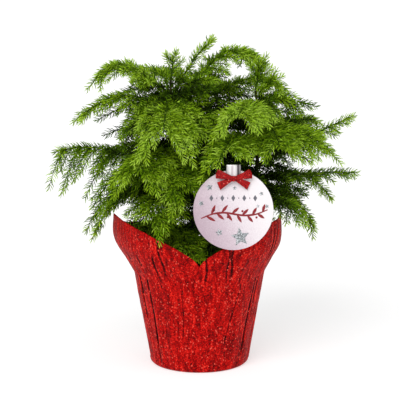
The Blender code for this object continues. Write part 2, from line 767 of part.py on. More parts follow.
def main():
    """Build the cover, the pot and its mix, the tag and the plant."""
    clear_scene()
    collection = bpy.data.collections.new("norfolk_island_pine")
    bpy.context.scene.collection.children.link(collection)
    foil = make_material("glitter_paper_red", (0.52, 0.012, 0.012), 0.45)
    pot = make_material("black_polypropylene", (0.012, 0.012, 0.012), 0.5)
    mix = make_material("potting_mix", (0.035, 0.022, 0.014), 0.95)
    card = make_material("coated_card_white", (0.80, 0.72, 0.80), 0.5)
    silver = make_material("silver_foil_card", (0.70, 0.68, 0.70), 0.25, metallic=1.0)
    ribbon = make_material("satin_ribbon_red", (0.50, 0.008, 0.010), 0.4)
    clear = make_material("clear_polystyrene", (0.85, 0.85, 0.85), 0.08, alpha=0.4)
    bark = make_material("green_brown_bark", (0.045, 0.050, 0.015), 0.85)
    needles = make_material("pine_needles", (0.11, 0.22, 0.008), 0.55)

    cover = build_cover(foil, collection)
    build_pot(pot, collection)
    build_mix(mix, collection)
    build_tag(card, silver, ribbon, clear, collection)
    bpy.context.view_layer.update()
    rigid_items = [item for item in collection.objects]
    build_plant(bark, needles, rigid_items, collection)
    cover.data.shade_flat()


main()
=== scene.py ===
"""Looks of a potted Norfolk Island pine in a pleated gift cover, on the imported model's frame.

Every new surface is worked out with numpy as whole arrays: a function of two parameters on a grid,
or a profile carried along a path. Lengths are in metres, and named sizes are given in millimetres.
"""

import logging
from dataclasses import dataclass, field
from enum import Enum, IntEnum
from random import Random

import bpy
import numpy as np
from bpy.types import Material, Node, NodeSocket, NodeTree, Object
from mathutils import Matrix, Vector


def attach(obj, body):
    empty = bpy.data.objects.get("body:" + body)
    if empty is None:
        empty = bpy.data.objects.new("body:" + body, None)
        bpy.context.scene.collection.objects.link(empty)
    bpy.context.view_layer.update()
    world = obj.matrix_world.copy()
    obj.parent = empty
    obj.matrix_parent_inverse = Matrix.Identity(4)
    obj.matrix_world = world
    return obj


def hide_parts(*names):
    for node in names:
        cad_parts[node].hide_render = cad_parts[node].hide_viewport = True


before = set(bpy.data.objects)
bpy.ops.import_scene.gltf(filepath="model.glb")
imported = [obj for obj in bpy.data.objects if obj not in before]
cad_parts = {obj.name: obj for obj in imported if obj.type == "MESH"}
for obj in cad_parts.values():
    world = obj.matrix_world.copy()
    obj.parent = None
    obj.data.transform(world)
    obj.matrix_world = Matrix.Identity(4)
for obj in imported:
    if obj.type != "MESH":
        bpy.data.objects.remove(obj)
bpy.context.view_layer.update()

MM = 0.001
UP = np.array([0.0, 0.0, 1.0])
ACROSS = np.array([1.0, 0.0, 0.0])
GOLDEN_ANGLE = np.radians(137.508)
STEEP = 0.2
BODY = "root"
PIECE_LIMIT = 190_000
LOG = logging.getLogger("pine")


def linear(hex_colour: str) -> tuple:
    """Linear red, green, blue and an alpha of 1 from sRGB hex digits such as "c8171b"."""
    values = (int(hex_colour[i:i + 2], 16) / 255 for i in (0, 2, 4))
    return (*(v / 12.92 if v <= 0.04045 else ((v + 0.055) / 1.055) ** 2.4 for v in values), 1.0)


def add_node(tree: NodeTree, kind: str, settings: dict, links: dict) -> Node:
    """Add one shader node.

    Args:
        tree: the material's node tree.
        kind: the node's type name without its "ShaderNode" prefix.
        settings: attribute, or name or number of an input, to value; "stops" gives a ramp its
            (position, hex colour) pairs.
        links: input name or number to the output socket that feeds it.

    Returns:
        The new node.
    """
    node = tree.nodes.new("ShaderNode" + kind)
    for name, value in settings.items():
        if name == "stops":
            tones = node.color_ramp.elements
            while len(tones) < len(value):
                tones.new(0.5)
            for tone, (place, colour) in zip(tones, value):
                tone.position = place
                tone.color = linear(colour)
        elif isinstance(name, int) or name in node.inputs:
            node.inputs[name].default_value = value
        else:
            setattr(node, name, value)
    for name, source in links.items():
        tree.links.new(source, node.inputs[name])
    return node


@dataclass(frozen=True)
class Finish:
    """A finish whose one fine pattern gives its tones and its relief.

    Gloss holds values for the shader's sockets, size is the pattern's real grain, and stops are the
    (position, hex colour) pairs that it runs along. Cells give each grain one tone of its own and
    noise runs smoothly. Relief is (depth in millimetres, strength), domed over each cell or at random.
    """

    name: str
    gloss: tuple = ()
    size_mm: float = 1.0
    stops: tuple = ()
    cells: bool = False
    domed: bool = True
    detail: float = 2.0
    relief: tuple = ()

    def pattern(self, tree: NodeTree, place: NodeSocket) -> tuple:
        """Lay the pattern.

        Args:
            tree: the material's node tree.
            place: the Object coordinates.

        Returns:
            The socket that runs along the tones and the socket of the relief's height.
        """
        scale = 1 / (self.size_mm * MM)
        if not self.cells:
            noise = add_node(tree, "TexNoise", {"Scale": scale, "Detail": self.detail}, {"Vector": place})
            return noise.outputs["Fac"], noise.outputs["Fac"]
        grain = add_node(tree, "TexVoronoi", {"Scale": scale}, {"Vector": place})
        pick = add_node(tree, "SeparateColor", {}, {"Color": grain.outputs["Color"]})
        return pick.outputs["Red"], grain.outputs["Distance"] if self.domed else pick.outputs["Green"]

    def colour(self, tree: NodeTree, level: NodeSocket,
               place: NodeSocket) -> NodeSocket:
        """The tone at a level of the pattern; a finish may lay more on it at its place."""
        return add_node(tree, "ValToRGB", {"stops": self.stops}, {"Fac": level}).outputs["Color"]

    def material(self) -> Material:
        """Make the material: pattern to tone to base colour, and pattern to bump.

        Returns:
            The material.
        """
        material = bpy.data.materials.new(self.name)
        material.use_nodes = True
        tree = material.node_tree
        shader = tree.nodes["Principled BSDF"]
        for socket, value in self.gloss:
            shader.inputs[socket].default_value = value
        place = add_node(tree, "TexCoord", {}, {}).outputs["Object"]
        level, height = self.pattern(tree, place)
        if self.stops:
            tree.links.new(self.colour(tree, level, place), shader.inputs["Base Color"])
        if self.relief:
            depth, strength = self.relief
            bump = add_node(tree, "Bump", {"Strength": strength, "Distance": depth * MM}, {"Height": height})
            tree.links.new(bump.outputs["Normal"], shader.inputs["Normal"])
        return material


@dataclass(frozen=True)
class GlitterPaper(Finish):
    """Embossed paper with fine glitter: grains of many reds that each catch the light their own way.

    Each grain is one cell, drawn coarser than real glitter so that it shows, over upright streaks of
    painted light and shade that stand for the crushed paper's pleats. Each grain is painted brighter at
    its middle as a glint, a few grains sparkle pale as painted glints, and a point attribute of the piece
    paints shade along the folds and highlights on their lips. The gains say how much streak, painted
    glint at a grain's middle, grain and painted fold shade count in the tone.
    """

    name: str = "glitter_paper_red"
    gloss: tuple = (("Roughness", 0.5), ("Specular IOR Level", 0.05))
    size_mm: float = 1.15
    stops: tuple = ((0.0, "120001"), (0.3, "5e0102"), (0.6, "960403"), (0.85, "c50d08"), (1.0, "e22d20"))
    relief: tuple = (0.6, 0.8)
    stretch: float = 0.8
    streak_mm: float = 3.4
    streak_stretch: float = 0.07
    ground: float = 0.27
    # Gains: streak as painted light and shade of the pleats, distance from a grain's middle as a painted
    # glint, grain tone, and the folds' painted shade.
    gains: tuple = (0.9, -0.6, 0.42, -0.85)
    sparkle: str = "de4c3e"
    sparkle_share: float = 0.04

    def grains(self, tree: NodeTree, place: NodeSocket) -> tuple:
        """Lay the glitter's cells, a little taller than wide.

        Args:
            tree: the material's node tree.
            place: the Object coordinates.

        Returns:
            The cells' node and the node that holds each cell's own random values.
        """
        drawn = add_node(tree, "Mapping", {"Scale": (1.0, 1.0, self.stretch)}, {"Vector": place})
        scale = {"Scale": 1 / (self.size_mm * MM)}
        cells = add_node(tree, "TexVoronoi", scale, {"Vector": drawn.outputs["Vector"]})
        return cells, add_node(tree, "SeparateColor", {}, {"Color": cells.outputs["Color"]})

    def pattern(self, tree: NodeTree, place: NodeSocket) -> tuple:
        """Ground plus gains times painted streak, painted glint at a grain's middle, grain and painted fold
        shade.

        Args:
            tree: the material's node tree.
            place: the Object coordinates.

        Returns:
            The level with the folds' painted shade, and without it for the relief.
        """
        cells, pick = self.grains(tree, place)
        drawn = add_node(tree, "Mapping", {"Scale": (1.0, 1.0, self.streak_stretch)}, {"Vector": place})
        streak = add_node(
            tree, "TexNoise", {"Scale": 1 / (self.streak_mm * MM), "Detail": 1.0, "Roughness": 0.4},
            {"Vector": drawn.outputs["Vector"]},
        )
        # The folds' painted shade, with painted highlights on their lips, read from the piece.
        crease = add_node(tree, "Attribute", {"attribute_name": "crease"}, {})
        # Streaks paint light and shade of the pleats; distance from a grain's middle paints each grain
        # brighter there, as a glint.
        sources = [streak.outputs["Fac"], cells.outputs["Distance"]]
        sources += [pick.outputs["Red"], crease.outputs["Fac"]]
        levels = [add_node(tree, "Math", {"operation": "ADD", 0: self.ground, 1: 0.0}, {}).outputs["Value"]]
        for source, gain in zip(sources, self.gains):
            step = add_node(tree, "Math", {"operation": "MULTIPLY_ADD", 1: gain}, {0: source, 2: levels[-1]})
            levels.append(step.outputs["Value"])
        return levels[-1], levels[-2]

    def colour(self, tree: NodeTree, level: NodeSocket,
               place: NodeSocket) -> NodeSocket:
        """Lay the sparkling grains over the tones.

        Args:
            tree: the material's node tree.
            level: the level that runs along the tones.
            place: the Object coordinates.

        Returns:
            The colour.
        """
        reds = super().colour(tree, level, place)
        least = {"operation": "GREATER_THAN", 1: 1 - self.sparkle_share}
        bright = add_node(tree, "Math", least, {0: self.grains(tree, place)[1].outputs["Green"]})
        mixed = add_node(
            tree, "Mix", {"data_type": "RGBA", 7: linear(self.sparkle)}, {0: bright.outputs["Value"], 6: reds}
        )
        return mixed.outputs[2]


@dataclass(frozen=True)
class MouldedPlastic(Finish):
    """Injection-moulded polypropylene: dull black with a faint texture from the mould."""

    name: str = "black_polypropylene"
    gloss: tuple = (("Roughness", 0.55), ("IOR", 1.49))
    size_mm: float = 0.9
    stops: tuple = ((0.3, "161617"), (0.8, "262627"))
    detail: float = 4.0
    relief: tuple = (0.1, 0.5)


@dataclass(frozen=True)
class MoistMix(Finish):
    """Moist peat and bark: very dark brown crumbs with a few paler fibres, damp enough to shine a little."""

    name: str = "moist_peat_mix"
    gloss: tuple = (("Roughness", 0.85),)
    size_mm: float = 2.2
    stops: tuple = ((0.0, "120c08"), (0.7, "22160e"), (1.0, "3c2a1c"))
    cells: bool = True
    relief: tuple = (0.8, 0.8)


@dataclass(frozen=True)
class CoatedCard(Finish):
    """Coated board, printed white that turns to pale lilac at the lower left, with a fine fleck.

    Centre and radius (metres) are the disc's, and tilt is the gradient's turn in degrees.
    """

    name: str = "coated_card_lilac"
    gloss: tuple = (("Roughness", 0.5), ("Specular IOR Level", 0.2))
    size_mm: float = 1.2
    stops: tuple = ((0.10, "af9aa5"), (0.40, "c6b5be"), (0.62, "dad0d5"), (0.9, "e6e0e2"))
    centre: tuple = (0.0, 0.0, 0.0)
    radius: float = 1.0
    tilt: float = -62.0
    middle: float = 0.33
    fleck: float = 0.5

    def pattern(self, tree: NodeTree, place: NodeSocket) -> tuple:
        """A straight gradient across the disc plus the fleck.

        Args:
            tree: the material's node tree.
            place: the Object coordinates.

        Returns:
            The level, twice.
        """
        fleck, _ = super().pattern(tree, place)
        turn = np.radians(self.tilt)
        slope = np.array([-np.sin(turn), 0.0, np.cos(turn)]) / (2 * self.radius)
        across = add_node(tree, "VectorMath", {"operation": "DOT_PRODUCT", 1: slope}, {0: place})
        offset = self.middle - float(slope @ self.centre)
        level = add_node(tree, "Math", {"operation": "ADD", 1: offset}, {0: across.outputs["Value"]})
        noisy = add_node(
            tree, "Math", {"operation": "MULTIPLY_ADD", 1: self.fleck}, {0: fleck, 2: level.outputs["Value"]}
        )
        return noisy.outputs["Value"], noisy.outputs["Value"]


@dataclass(frozen=True)
class SilverGlitter(Finish):
    """Silver glitter print: cells of grey from dark to bright."""

    name: str = "silver_glitter_print"
    gloss: tuple = (("Roughness", 0.4), ("Metallic", 0.35))
    size_mm: float = 0.9
    stops: tuple = ((0.0, "5b5f60"), (0.4, "8b8f92"), (0.75, "a9adb1"), (1.0, "e2e4e8"))
    cells: bool = True
    domed: bool = False
    relief: tuple = (0.2, 0.6)


@dataclass(frozen=True)
class SilverFoil(Finish):
    """Metallised board with painted reflections: bright upright bands and a dark one near its right edge.

    Left and width (metres) are the cap's.
    """

    name: str = "metallised_silver"
    gloss: tuple = (("Metallic", 0.25), ("Roughness", 0.35), ("Specular IOR Level", 0.3))
    # Painted reflections across the cap's width: bright bands and a dark band near its right edge.
    stops: tuple = (
        (0.0, "7d7a7c"), (0.07, "d9d6d7"), (0.30, "f0eeee"), (0.40, "c4b6ba"), (0.55, "f2eeef"),
        (0.70, "dcd6d8"), (0.78, "4a4246"), (0.87, "5c5356"), (0.93, "b5afb1"), (1.0, "8a8688"),
    )
    left: float = 0.0
    width: float = 1.0

    def pattern(self, tree: NodeTree, place: NodeSocket) -> tuple:
        """The share of the cap's width, from 0 at its left edge to 1 at its right.

        Args:
            tree: the material's node tree.
            place: the Object coordinates.

        Returns:
            The share, twice.
        """
        across = add_node(tree, "SeparateXYZ", {}, {"Vector": place}).outputs["X"]
        edges = {"From Min": self.left, "From Max": self.left + self.width}
        share = add_node(tree, "MapRange", edges, {"Value": across}).outputs["Result"]
        return share, share


@dataclass(frozen=True)
class PrintInk(Finish):
    """Offset print ink: one flat tone with a slightly uneven lay on the card."""

    gloss: tuple = (("Roughness", 0.45),)
    size_mm: float = 1.2


@dataclass(frozen=True)
class GlitterRibbon(Finish):
    """Woven ribbon with glitter: deep red, with scattered grains painted bright as glints, and fine ribs."""

    name: str = "glitter_ribbon_red"
    gloss: tuple = (("Roughness", 0.42), ("Specular IOR Level", 0.15))
    # The pale top of the ramp paints glints on a few grains.
    stops: tuple = ((0.0, "6c0306"), (0.5, "8f0709"), (0.9, "ae0f10"), (0.97, "c01a18"), (1.0, "ff9a8c"))
    cells: bool = True
    relief: tuple = (0.1, 0.5)
    rib_mm: float = 0.7

    def pattern(self, tree: NodeTree, place: NodeSocket) -> tuple:
        """The grains for the tone and the woven ribs for the relief; a wave's scale counts in radians."""
        rib = add_node(tree, "TexWave", {"Scale": 1 / (self.rib_mm * MM) / 6.28}, {"Vector": place})
        return super().pattern(tree, place)[0], rib.outputs["Fac"]


@dataclass(frozen=True)
class ClearPlastic(Finish):
    """Clear polystyrene rod: see-through with bright edges and faint flow lines."""

    name: str = "clear_polystyrene"
    gloss: tuple = (
        ("Base Color", linear("f2f5f6")), ("Roughness", 0.08), ("IOR", 1.59), ("Transmission Weight", 0.85),
    )
    size_mm: float = 6.0
    relief: tuple = (0.2, 0.3)


@dataclass(frozen=True)
class YoungBark(Finish):
    """Young conifer bark: green-brown patches over a fine grain, ridged by old needle bases."""

    name: str = "young_bark"
    gloss: tuple = (("Roughness", 0.8), ("Specular IOR Level", 0.1))
    size_mm: float = 4.0
    stops: tuple = ((0.3, "191c0a"), (0.8, "42451c"))
    detail: float = 6.0
    relief: tuple = (0.4, 0.6)


@dataclass(frozen=True)
class FloorPaint(Finish):
    """Matt white studio floor with the faintest mottling, lifted by a glow of its own."""

    name: str = "matt_white_floor"
    gloss: tuple = (("Roughness", 0.9), ("Emission Color", (1.0, 1.0, 1.0, 1.0)), ("Emission Strength", 0.52))
    size_mm: float = 1000 / 3
    stops: tuple = ((0.3, "c9c9c9"), (0.7, "cdcdcd"))


class Tint(Enum):
    """The greens that are dealt out to needle sprays, from painted shade deep inside the crown to fresh tips.
    """

    SHADE = ("141d04", "1e2c06")
    DEEP = ("2b3f07", "395209")
    MATURE = ("4b6c06", "597f0a")
    LEAF = ("698f09", "7aa110")
    FRESH = ("8bb016", "9cc024")
    LIME = ("a4cd33", "bbdd50")


@dataclass(frozen=True)
class NeedleWax(Finish):
    """A living needle: waxy green with a soft gloss, slightly uneven from needle to needle."""

    gloss: tuple = (("Roughness", 0.5), ("IOR", 1.42), ("Specular IOR Level", 0.12))
    size_mm: float = 7.0


def unit(vectors: np.ndarray) -> np.ndarray:
    """Vectors divided by their lengths, along the last axis."""
    return vectors / np.maximum(np.linalg.norm(vectors, axis=-1, keepdims=True), 1e-12)


def smooth_step(values: np.ndarray, start: float, end: float) -> np.ndarray:
    """Rise from 0 at start to 1 at end as 3t squared minus 2t cubed, level outside."""
    share = np.clip((values - start) / (end - start), 0.0, 1.0)
    return share * share * (3.0 - 2.0 * share)


def full_turn(count: int) -> np.ndarray:
    """Angles evenly round a circle."""
    return 2 * np.pi * np.arange(count) / count


def oval(across: float, rise: float, half_width: float, half_height: float, count: int) -> np.ndarray:
    """An outline: the middle plus (half width cos a, half height sin a)."""
    turn = full_turn(count)
    return np.stack([across + half_width * np.cos(turn), rise + half_height * np.sin(turn)], axis=-1)


def wave_noise(u: np.ndarray, v: np.ndarray, size_u: float, size_v: float, seed: int) -> np.ndarray:
    """Smooth seeded noise: the sum of sixteen sine waves of nearby lengths in random directions.

    Args:
        u: first coordinate.
        v: second coordinate.
        size_u: wave length along u.
        size_v: wave length along v.
        seed: the seed of the waves.

    Returns:
        Values from about -1 to 1.
    """
    chance = np.random.default_rng(seed)
    total = np.zeros(np.broadcast(u, v).shape)
    for _ in range(16):
        turn, phase = chance.uniform(0, 2 * np.pi, 2)
        gain = chance.uniform(0.6, 1.6)
        total += np.sin(2 * np.pi * gain * (np.cos(turn) * u / size_u + np.sin(turn) * v / size_v) + phase)
    return total / 5.0


def grid_faces(rows: int, columns: int, closed: bool = True, first: int = 0) -> np.ndarray:
    """Quads of a grid whose points run along columns first.

    Args:
        rows: how many rows of points.
        columns: how many points a row has.
        closed: whether the last column joins the first.
        first: the number of the grid's first point.

    Returns:
        An array of four point numbers for each quad.
    """
    across = columns if closed else columns - 1
    row, column = np.meshgrid(np.arange(rows - 1), np.arange(across), indexing="ij")
    following = (column + 1) % columns
    corners = [row * columns + column, row * columns + following]
    corners += [(row + 1) * columns + following, (row + 1) * columns + column]
    return first + np.stack(corners, axis=-1).reshape(-1, 4)


def revolved(radii: np.ndarray, heights: np.ndarray) -> tuple:
    """A closed skin of rings round the upright axis: points (r cos a, r sin a, h).

    Args:
        radii: radii as (rows, columns), from the middle of the underside to the middle of the inside.
        heights: heights that broadcast with them.

    Returns:
        The points as (rows, columns, 3), and the faces: quads and two small end faces.
    """
    rows, columns = radii.shape
    turn = full_turn(columns)
    skin = np.stack([radii * np.cos(turn), radii * np.sin(turn), heights + 0 * radii], axis=-1)
    ring = np.arange(columns)[None]
    return skin, [grid_faces(rows, columns), ring[:, ::-1], ring + (rows - 1) * columns]


def make_piece(name: str, points: np.ndarray, faces: list, material: Material,
               replaced: tuple = (), smooth: bool = True) -> Object:
    """Make a mesh piece that rides on the body.

    Args:
        name: the piece's name.
        points: the points, as rows of x, y, z.
        faces: arrays of point numbers, one for each kind of face.
        material: the finish.
        replaced: names of the CAD nodes that it stands for.
        smooth: whether its faces are shaded smooth.

    Returns:
        The new object.
    """
    polygons = [corner for group in faces for corner in group.tolist()]
    mesh = bpy.data.meshes.new(name)
    mesh.from_pydata(points.reshape(-1, 3), [], polygons)
    mesh.polygons.foreach_set("use_smooth", np.full(len(polygons), smooth))
    mesh.materials.append(material)
    mesh.update()
    piece = bpy.data.objects.new(name, mesh)
    bpy.context.scene.collection.objects.link(piece)
    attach(piece, BODY)
    if replaced:
        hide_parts(*replaced)
    LOG.info("%s: %d faces", name, len(polygons))
    return piece


def path_frame(points: np.ndarray) -> tuple:
    """Directions along and around paths.

    Args:
        points: paths as (..., K, 3).

    Returns:
        Unit vectors forward, sideways and upward at each point; sideways is level unless the path
        stands nearly upright.
    """
    ahead = np.concatenate([points[..., 1:2, :], points[..., 2:, :], points[..., -1:, :]], axis=-2)
    behind = np.concatenate([points[..., :1, :], points[..., :-2, :], points[..., -2:-1, :]], axis=-2)
    forward = unit(ahead - behind)
    side = np.cross(forward, UP)
    steep = np.linalg.norm(side, axis=-1, keepdims=True) < STEEP
    side = unit(np.where(steep, np.cross(forward, ACROSS), side))
    return forward, side, np.cross(side, forward)


def tubes(points: np.ndarray, radii: np.ndarray, sides: int) -> tuple:
    """Closed tubes: each path's point plus radius times (side cos a - up sin a), with flat ends.

    Args:
        points: paths as (S, K, 3).
        radii: radii as (S, K, 1) or (S, K, sides).
        sides: points round each tube.

    Returns:
        The points, and the faces: side quads and ends.
    """
    count, steps = points.shape[:2]
    _, side, upward = path_frame(points)
    turn = full_turn(sides)[:, None]
    ring = side[:, :, None] * np.cos(turn) - upward[:, :, None] * np.sin(turn)
    skin = points[:, :, None] + ring * radii[..., None]
    block = steps * sides
    offsets = block * np.arange(count)[:, None]
    walls = (grid_faces(steps, sides)[None] + offsets[..., None]).reshape(-1, 4)
    start = np.arange(sides)[::-1] + offsets
    end = np.arange(sides) + block - sides + offsets
    return skin, [walls, start, end]


@dataclass(frozen=True)
class Stem:
    """One seedling's stem: foot and top in plan, top height, sideways bow and foot radius (mm)."""

    name: str
    foot: tuple
    top: tuple
    height: float
    bow: float
    radius: float

    def share(self, height: np.ndarray) -> np.ndarray:
        """How far up the stem a height is, from 0 at the mix to 1 at the top."""
        return (height - SOIL_LEVEL) / (self.height * MM - SOIL_LEVEL)

    def point(self, height: np.ndarray) -> np.ndarray:
        """The stem's middle: a straight lean with a sideways bow of 4 t (1 - t).

        Args:
            height: heights in metres.

        Returns:
            A point for each height.
        """
        share = self.share(height)
        across = self.foot[0] + (self.top[0] - self.foot[0]) * share + self.bow * 4 * share * (1 - share)
        back = self.foot[1] + (self.top[1] - self.foot[1]) * share
        return np.stack([across * MM, back * MM, height + 0 * across], axis=-1)

    def thickness(self, height: np.ndarray) -> np.ndarray:
        """The stem's radius: a straight taper with a root flare that dies away upward."""
        flare = ROOT_FLARE_GAIN * np.exp(-(height - SOIL_LEVEL) / ROOT_FLARE_HEIGHT)
        return self.radius * MM * (1.0 - STEM_TAPER * self.share(height) + flare)


@dataclass(frozen=True)
class Branch:
    """One branch as the solids have it (mm, degrees), and how light and how dense its foliage is.

    Bearing is counted from +X towards the back, reach is the tip's distance from the stem in plan,
    tip is the tip's height, arch is how far the middle stands above a straight line, droop is how
    far a side twig sinks for each unit of its length. Glow shifts its greens: partly fresher growth,
    partly painted light on fronts that face the lamps, and painted shade where it is below 0. Lush is
    the share of the finer growth that it carries.
    """

    name: str
    stem: str
    height: float
    bearing: float
    reach: float
    tip: float
    arch: float
    twigs: int
    twig: float
    droop: float
    bough: bool = False
    glow: float = 0.0
    lush: float = 0.5

    def point(self, stem: Stem, share: np.ndarray) -> np.ndarray:
        """A straight reach plus a hump of 2.6 (t - t cubed), steepest at the drooping tip.

        Args:
            stem: the stem that it grows from.
            share: how far along the branch, from 0 to 1.

        Returns:
            A point for each share.
        """
        share = np.asarray(share, float)
        start = stem.point(np.asarray(self.height * MM))
        bearing = np.radians(self.bearing)
        reach = self.reach * MM * share
        rise = self.height + (self.tip - self.height) * share + self.arch * HUMP * (share - share ** 3)
        x, y = start[0] + reach * np.cos(bearing), start[1] + reach * np.sin(bearing)
        return np.stack([x, y, rise * MM], axis=-1)

    @property
    def upright(self) -> bool:
        """Whether this is the shoot on top of a stem."""
        return self.reach < UPRIGHT_REACH


SOIL_LEVEL = 96 * MM
ROOT_FLARE_HEIGHT = 9 * MM
ROOT_FLARE_GAIN = 0.5
STEM_TAPER = 0.6
HUMP = 2.6
UPRIGHT_REACH = 10
TWIG_ANGLE = np.radians(50)
TWIG_SHARES = (0.24, 0.93)
UPRIGHT_SHARE = 0.35
TAPER_TO_TIP = 0.5
CURL_FORWARD = 0.18
BOUGH_SHARE = 0.24
LENGTH_AT_ROOT = 1.1

STEMS = (
    Stem("stem_main", (-22, 4), (-30, 0), 308, -4, 3.4),
    Stem("stem_right", (32, 8), (60, 5), 296, 14, 3.1),
    Stem("stem_rear", (4, 30), (10, 48), 292, 0, 2.9),
)

# Glow here is partly fresher growth and partly painted light, with painted shade where it is below 0.
BRANCHES = (
    Branch("main_leader", "stem_main", 308, 60, 5, 332, 0, 5, 18, -0.1),
    Branch("main_top", "stem_main", 288, 12, 47, 350, 7, 4, 22, 0.1),
    Branch("main_top_right", "stem_main", 270, 22, 99, 330, 26, 8, 37, 0.60, lush=1.3),
    Branch("main_upper_left", "stem_main", 290, 173, 77, 311, 19, 8, 36, 0.40, lush=1.2),
    Branch("main_left", "stem_main", 279, 190, 98, 266, 20, 8, 36, 0.45, glow=0.1),
    Branch("main_left_front", "stem_main", 274, 224, 56, 258, 12, 7, 30, 0.65, glow=0.3, lush=0.8),
    Branch("main_fan", "stem_main", 280, 266, 80, 262, 12, 9, 50, 0.75, glow=1.2, lush=1.0),
    Branch("main_front_right", "stem_main", 268, 303, 70, 252, 14, 7, 38, 0.60, glow=0.4, lush=0.9),
    Branch("main_back_left", "stem_main", 276, 122, 84, 321, -7, 7, 22, -0.05),
    Branch("main_back", "stem_main", 290, 106, 72, 302, 16, 7, 32, 0.20),
    Branch("main_far_left", "stem_main", 208, 181, 125, 230, 13, 9, 42, 1.40, True, lush=0.4),
    Branch("main_mid_left", "stem_main", 202, 213, 98, 179, 26, 8, 27, 0.80, True, lush=0.2),
    Branch("main_low_left", "stem_main", 194, 166, 70, 165, 26, 6, 22, 0.80, True, lush=0.8),
    Branch("main_rim_left", "stem_main", 172, 188, 88, 136, 34, 7, 26, 0.35, lush=1.0),
    Branch("main_mid_front", "stem_main", 236, 246, 82, 220, 12, 9, 44, 0.70, glow=0.6, lush=0.9),
    Branch("main_inner_front", "stem_main", 220, 284, 76, 202, 12, 9, 42, 0.70, glow=0.6, lush=0.9),
    Branch("main_tuft", "stem_main", 184, 248, 72, 168, 12, 9, 40, 0.65, glow=0.7, lush=0.9),
    Branch("main_notch", "stem_main", 140, 289, 64, 118, 13, 6, 30, 0.35, glow=0.7, lush=0.7),
    Branch("main_low_front", "stem_main", 150, 240, 58, 134, 16, 7, 32, 0.40, lush=0.7),
    Branch("main_low_back_left", "stem_main", 228, 146, 92, 206, 20, 8, 32, 0.50, True, lush=0.5),
    Branch("main_low_back", "stem_main", 176, 164, 92, 150, 26, 7, 30, 0.60, lush=0.4),
    Branch("right_leader", "stem_right", 296, 50, 6, 319, 0, 7, 24, -0.1),
    Branch("right_top", "stem_right", 286, 348, 25, 297, 13, 5, 24, 0.1),
    Branch("right_upper", "stem_right", 276, 20, 38, 277, 12, 7, 32, 0.45),
    Branch("right_rosette", "stem_right", 276, 254, 80, 280, 8, 8, 42, 0.70, glow=1.5, lush=1.0),
    Branch("right_front", "stem_right", 258, 284, 80, 246, 12, 8, 40, 0.60, glow=0.3, lush=1.0),
    Branch("right_feather", "stem_right", 246, 318, 90, 236, 18, 9, 40, 0.45, True, glow=0.4, lush=0.8),
    Branch("right_far", "stem_right", 214, 3, 104, 268, 2, 8, 28, 0.45, True),
    Branch("right_level", "stem_right", 203, 8, 112, 204, 1, 7, 24, 0.35, True, glow=-0.4),
    Branch("right_low", "stem_right", 184, 347, 68, 146, 21, 7, 26, 0.45),
    Branch("right_rim", "stem_right", 170, 312, 74, 160, 18, 7, 28, 0.30),
    Branch("right_fan", "stem_right", 236, 245, 108, 229, 22, 9, 42, 0.50, True, glow=0.8, lush=0.9),
    Branch("right_back", "stem_right", 240, 46, 88, 256, 8, 8, 32, 0.35),
    Branch("right_far_back", "stem_right", 222, 82, 92, 214, 24, 7, 38, 0.45),
    Branch("right_low_back", "stem_right", 200, 38, 112, 164, 20, 6, 18, 0.50, lush=0.3),
    Branch("rear_leader", "stem_rear", 292, 90, 5, 312, 0, 4, 20, -0.2),
    Branch("rear_right", "stem_rear", 284, 28, 80, 298, 8, 8, 38, 0.50),
    Branch("rear_back", "stem_rear", 272, 92, 86, 278, 20, 8, 38, 0.40),
    Branch("rear_left", "stem_rear", 262, 152, 84, 266, 18, 8, 36, 0.40),
    Branch("rear_low_back", "stem_rear", 214, 66, 92, 190, 26, 7, 38, 0.45),
    Branch("rear_low_left", "stem_rear", 192, 138, 92, 164, 26, 8, 38, 0.45),
)


@dataclass(frozen=True)
class Fold:
    """A fold in the cover: its turn from the front at the top and bottom, its heights and depth.

    Turns are in degrees and lengths in millimetres. Its line wanders a little from side to side.
    """

    top_turn: float
    low_turn: float
    low: float
    high: float
    depth: float
    width: float = 1.3
    wander: float = 0.012

    def share(self, height: np.ndarray) -> np.ndarray:
        """How far up the fold a height is, from 0 to 1."""
        return (height / MM - self.low) / (self.high - self.low)

    def away(self, turn: np.ndarray, height: np.ndarray, radius: np.ndarray) -> np.ndarray:
        """Distance sideways from the fold's line, in millimetres.

        Args:
            turn: angles round the cover.
            height: heights.
            radius: the cover's radius there.

        Returns:
            Distances, of the same shape.
        """
        share = self.share(height)
        place = np.radians(self.low_turn + (self.top_turn - self.low_turn) * share - 90)
        place = place + self.wander * np.sin(share * 7 + self.top_turn)
        return np.angle(np.exp(1j * (turn - place))) * radius / MM

    def fade(self, height: np.ndarray) -> np.ndarray:
        """How strong the fold is at a height: it dies away at both ends."""
        share = self.share(height)
        return smooth_step(share, -0.04, 0.14) * (1 - smooth_step(share, 0.84, 1.04))


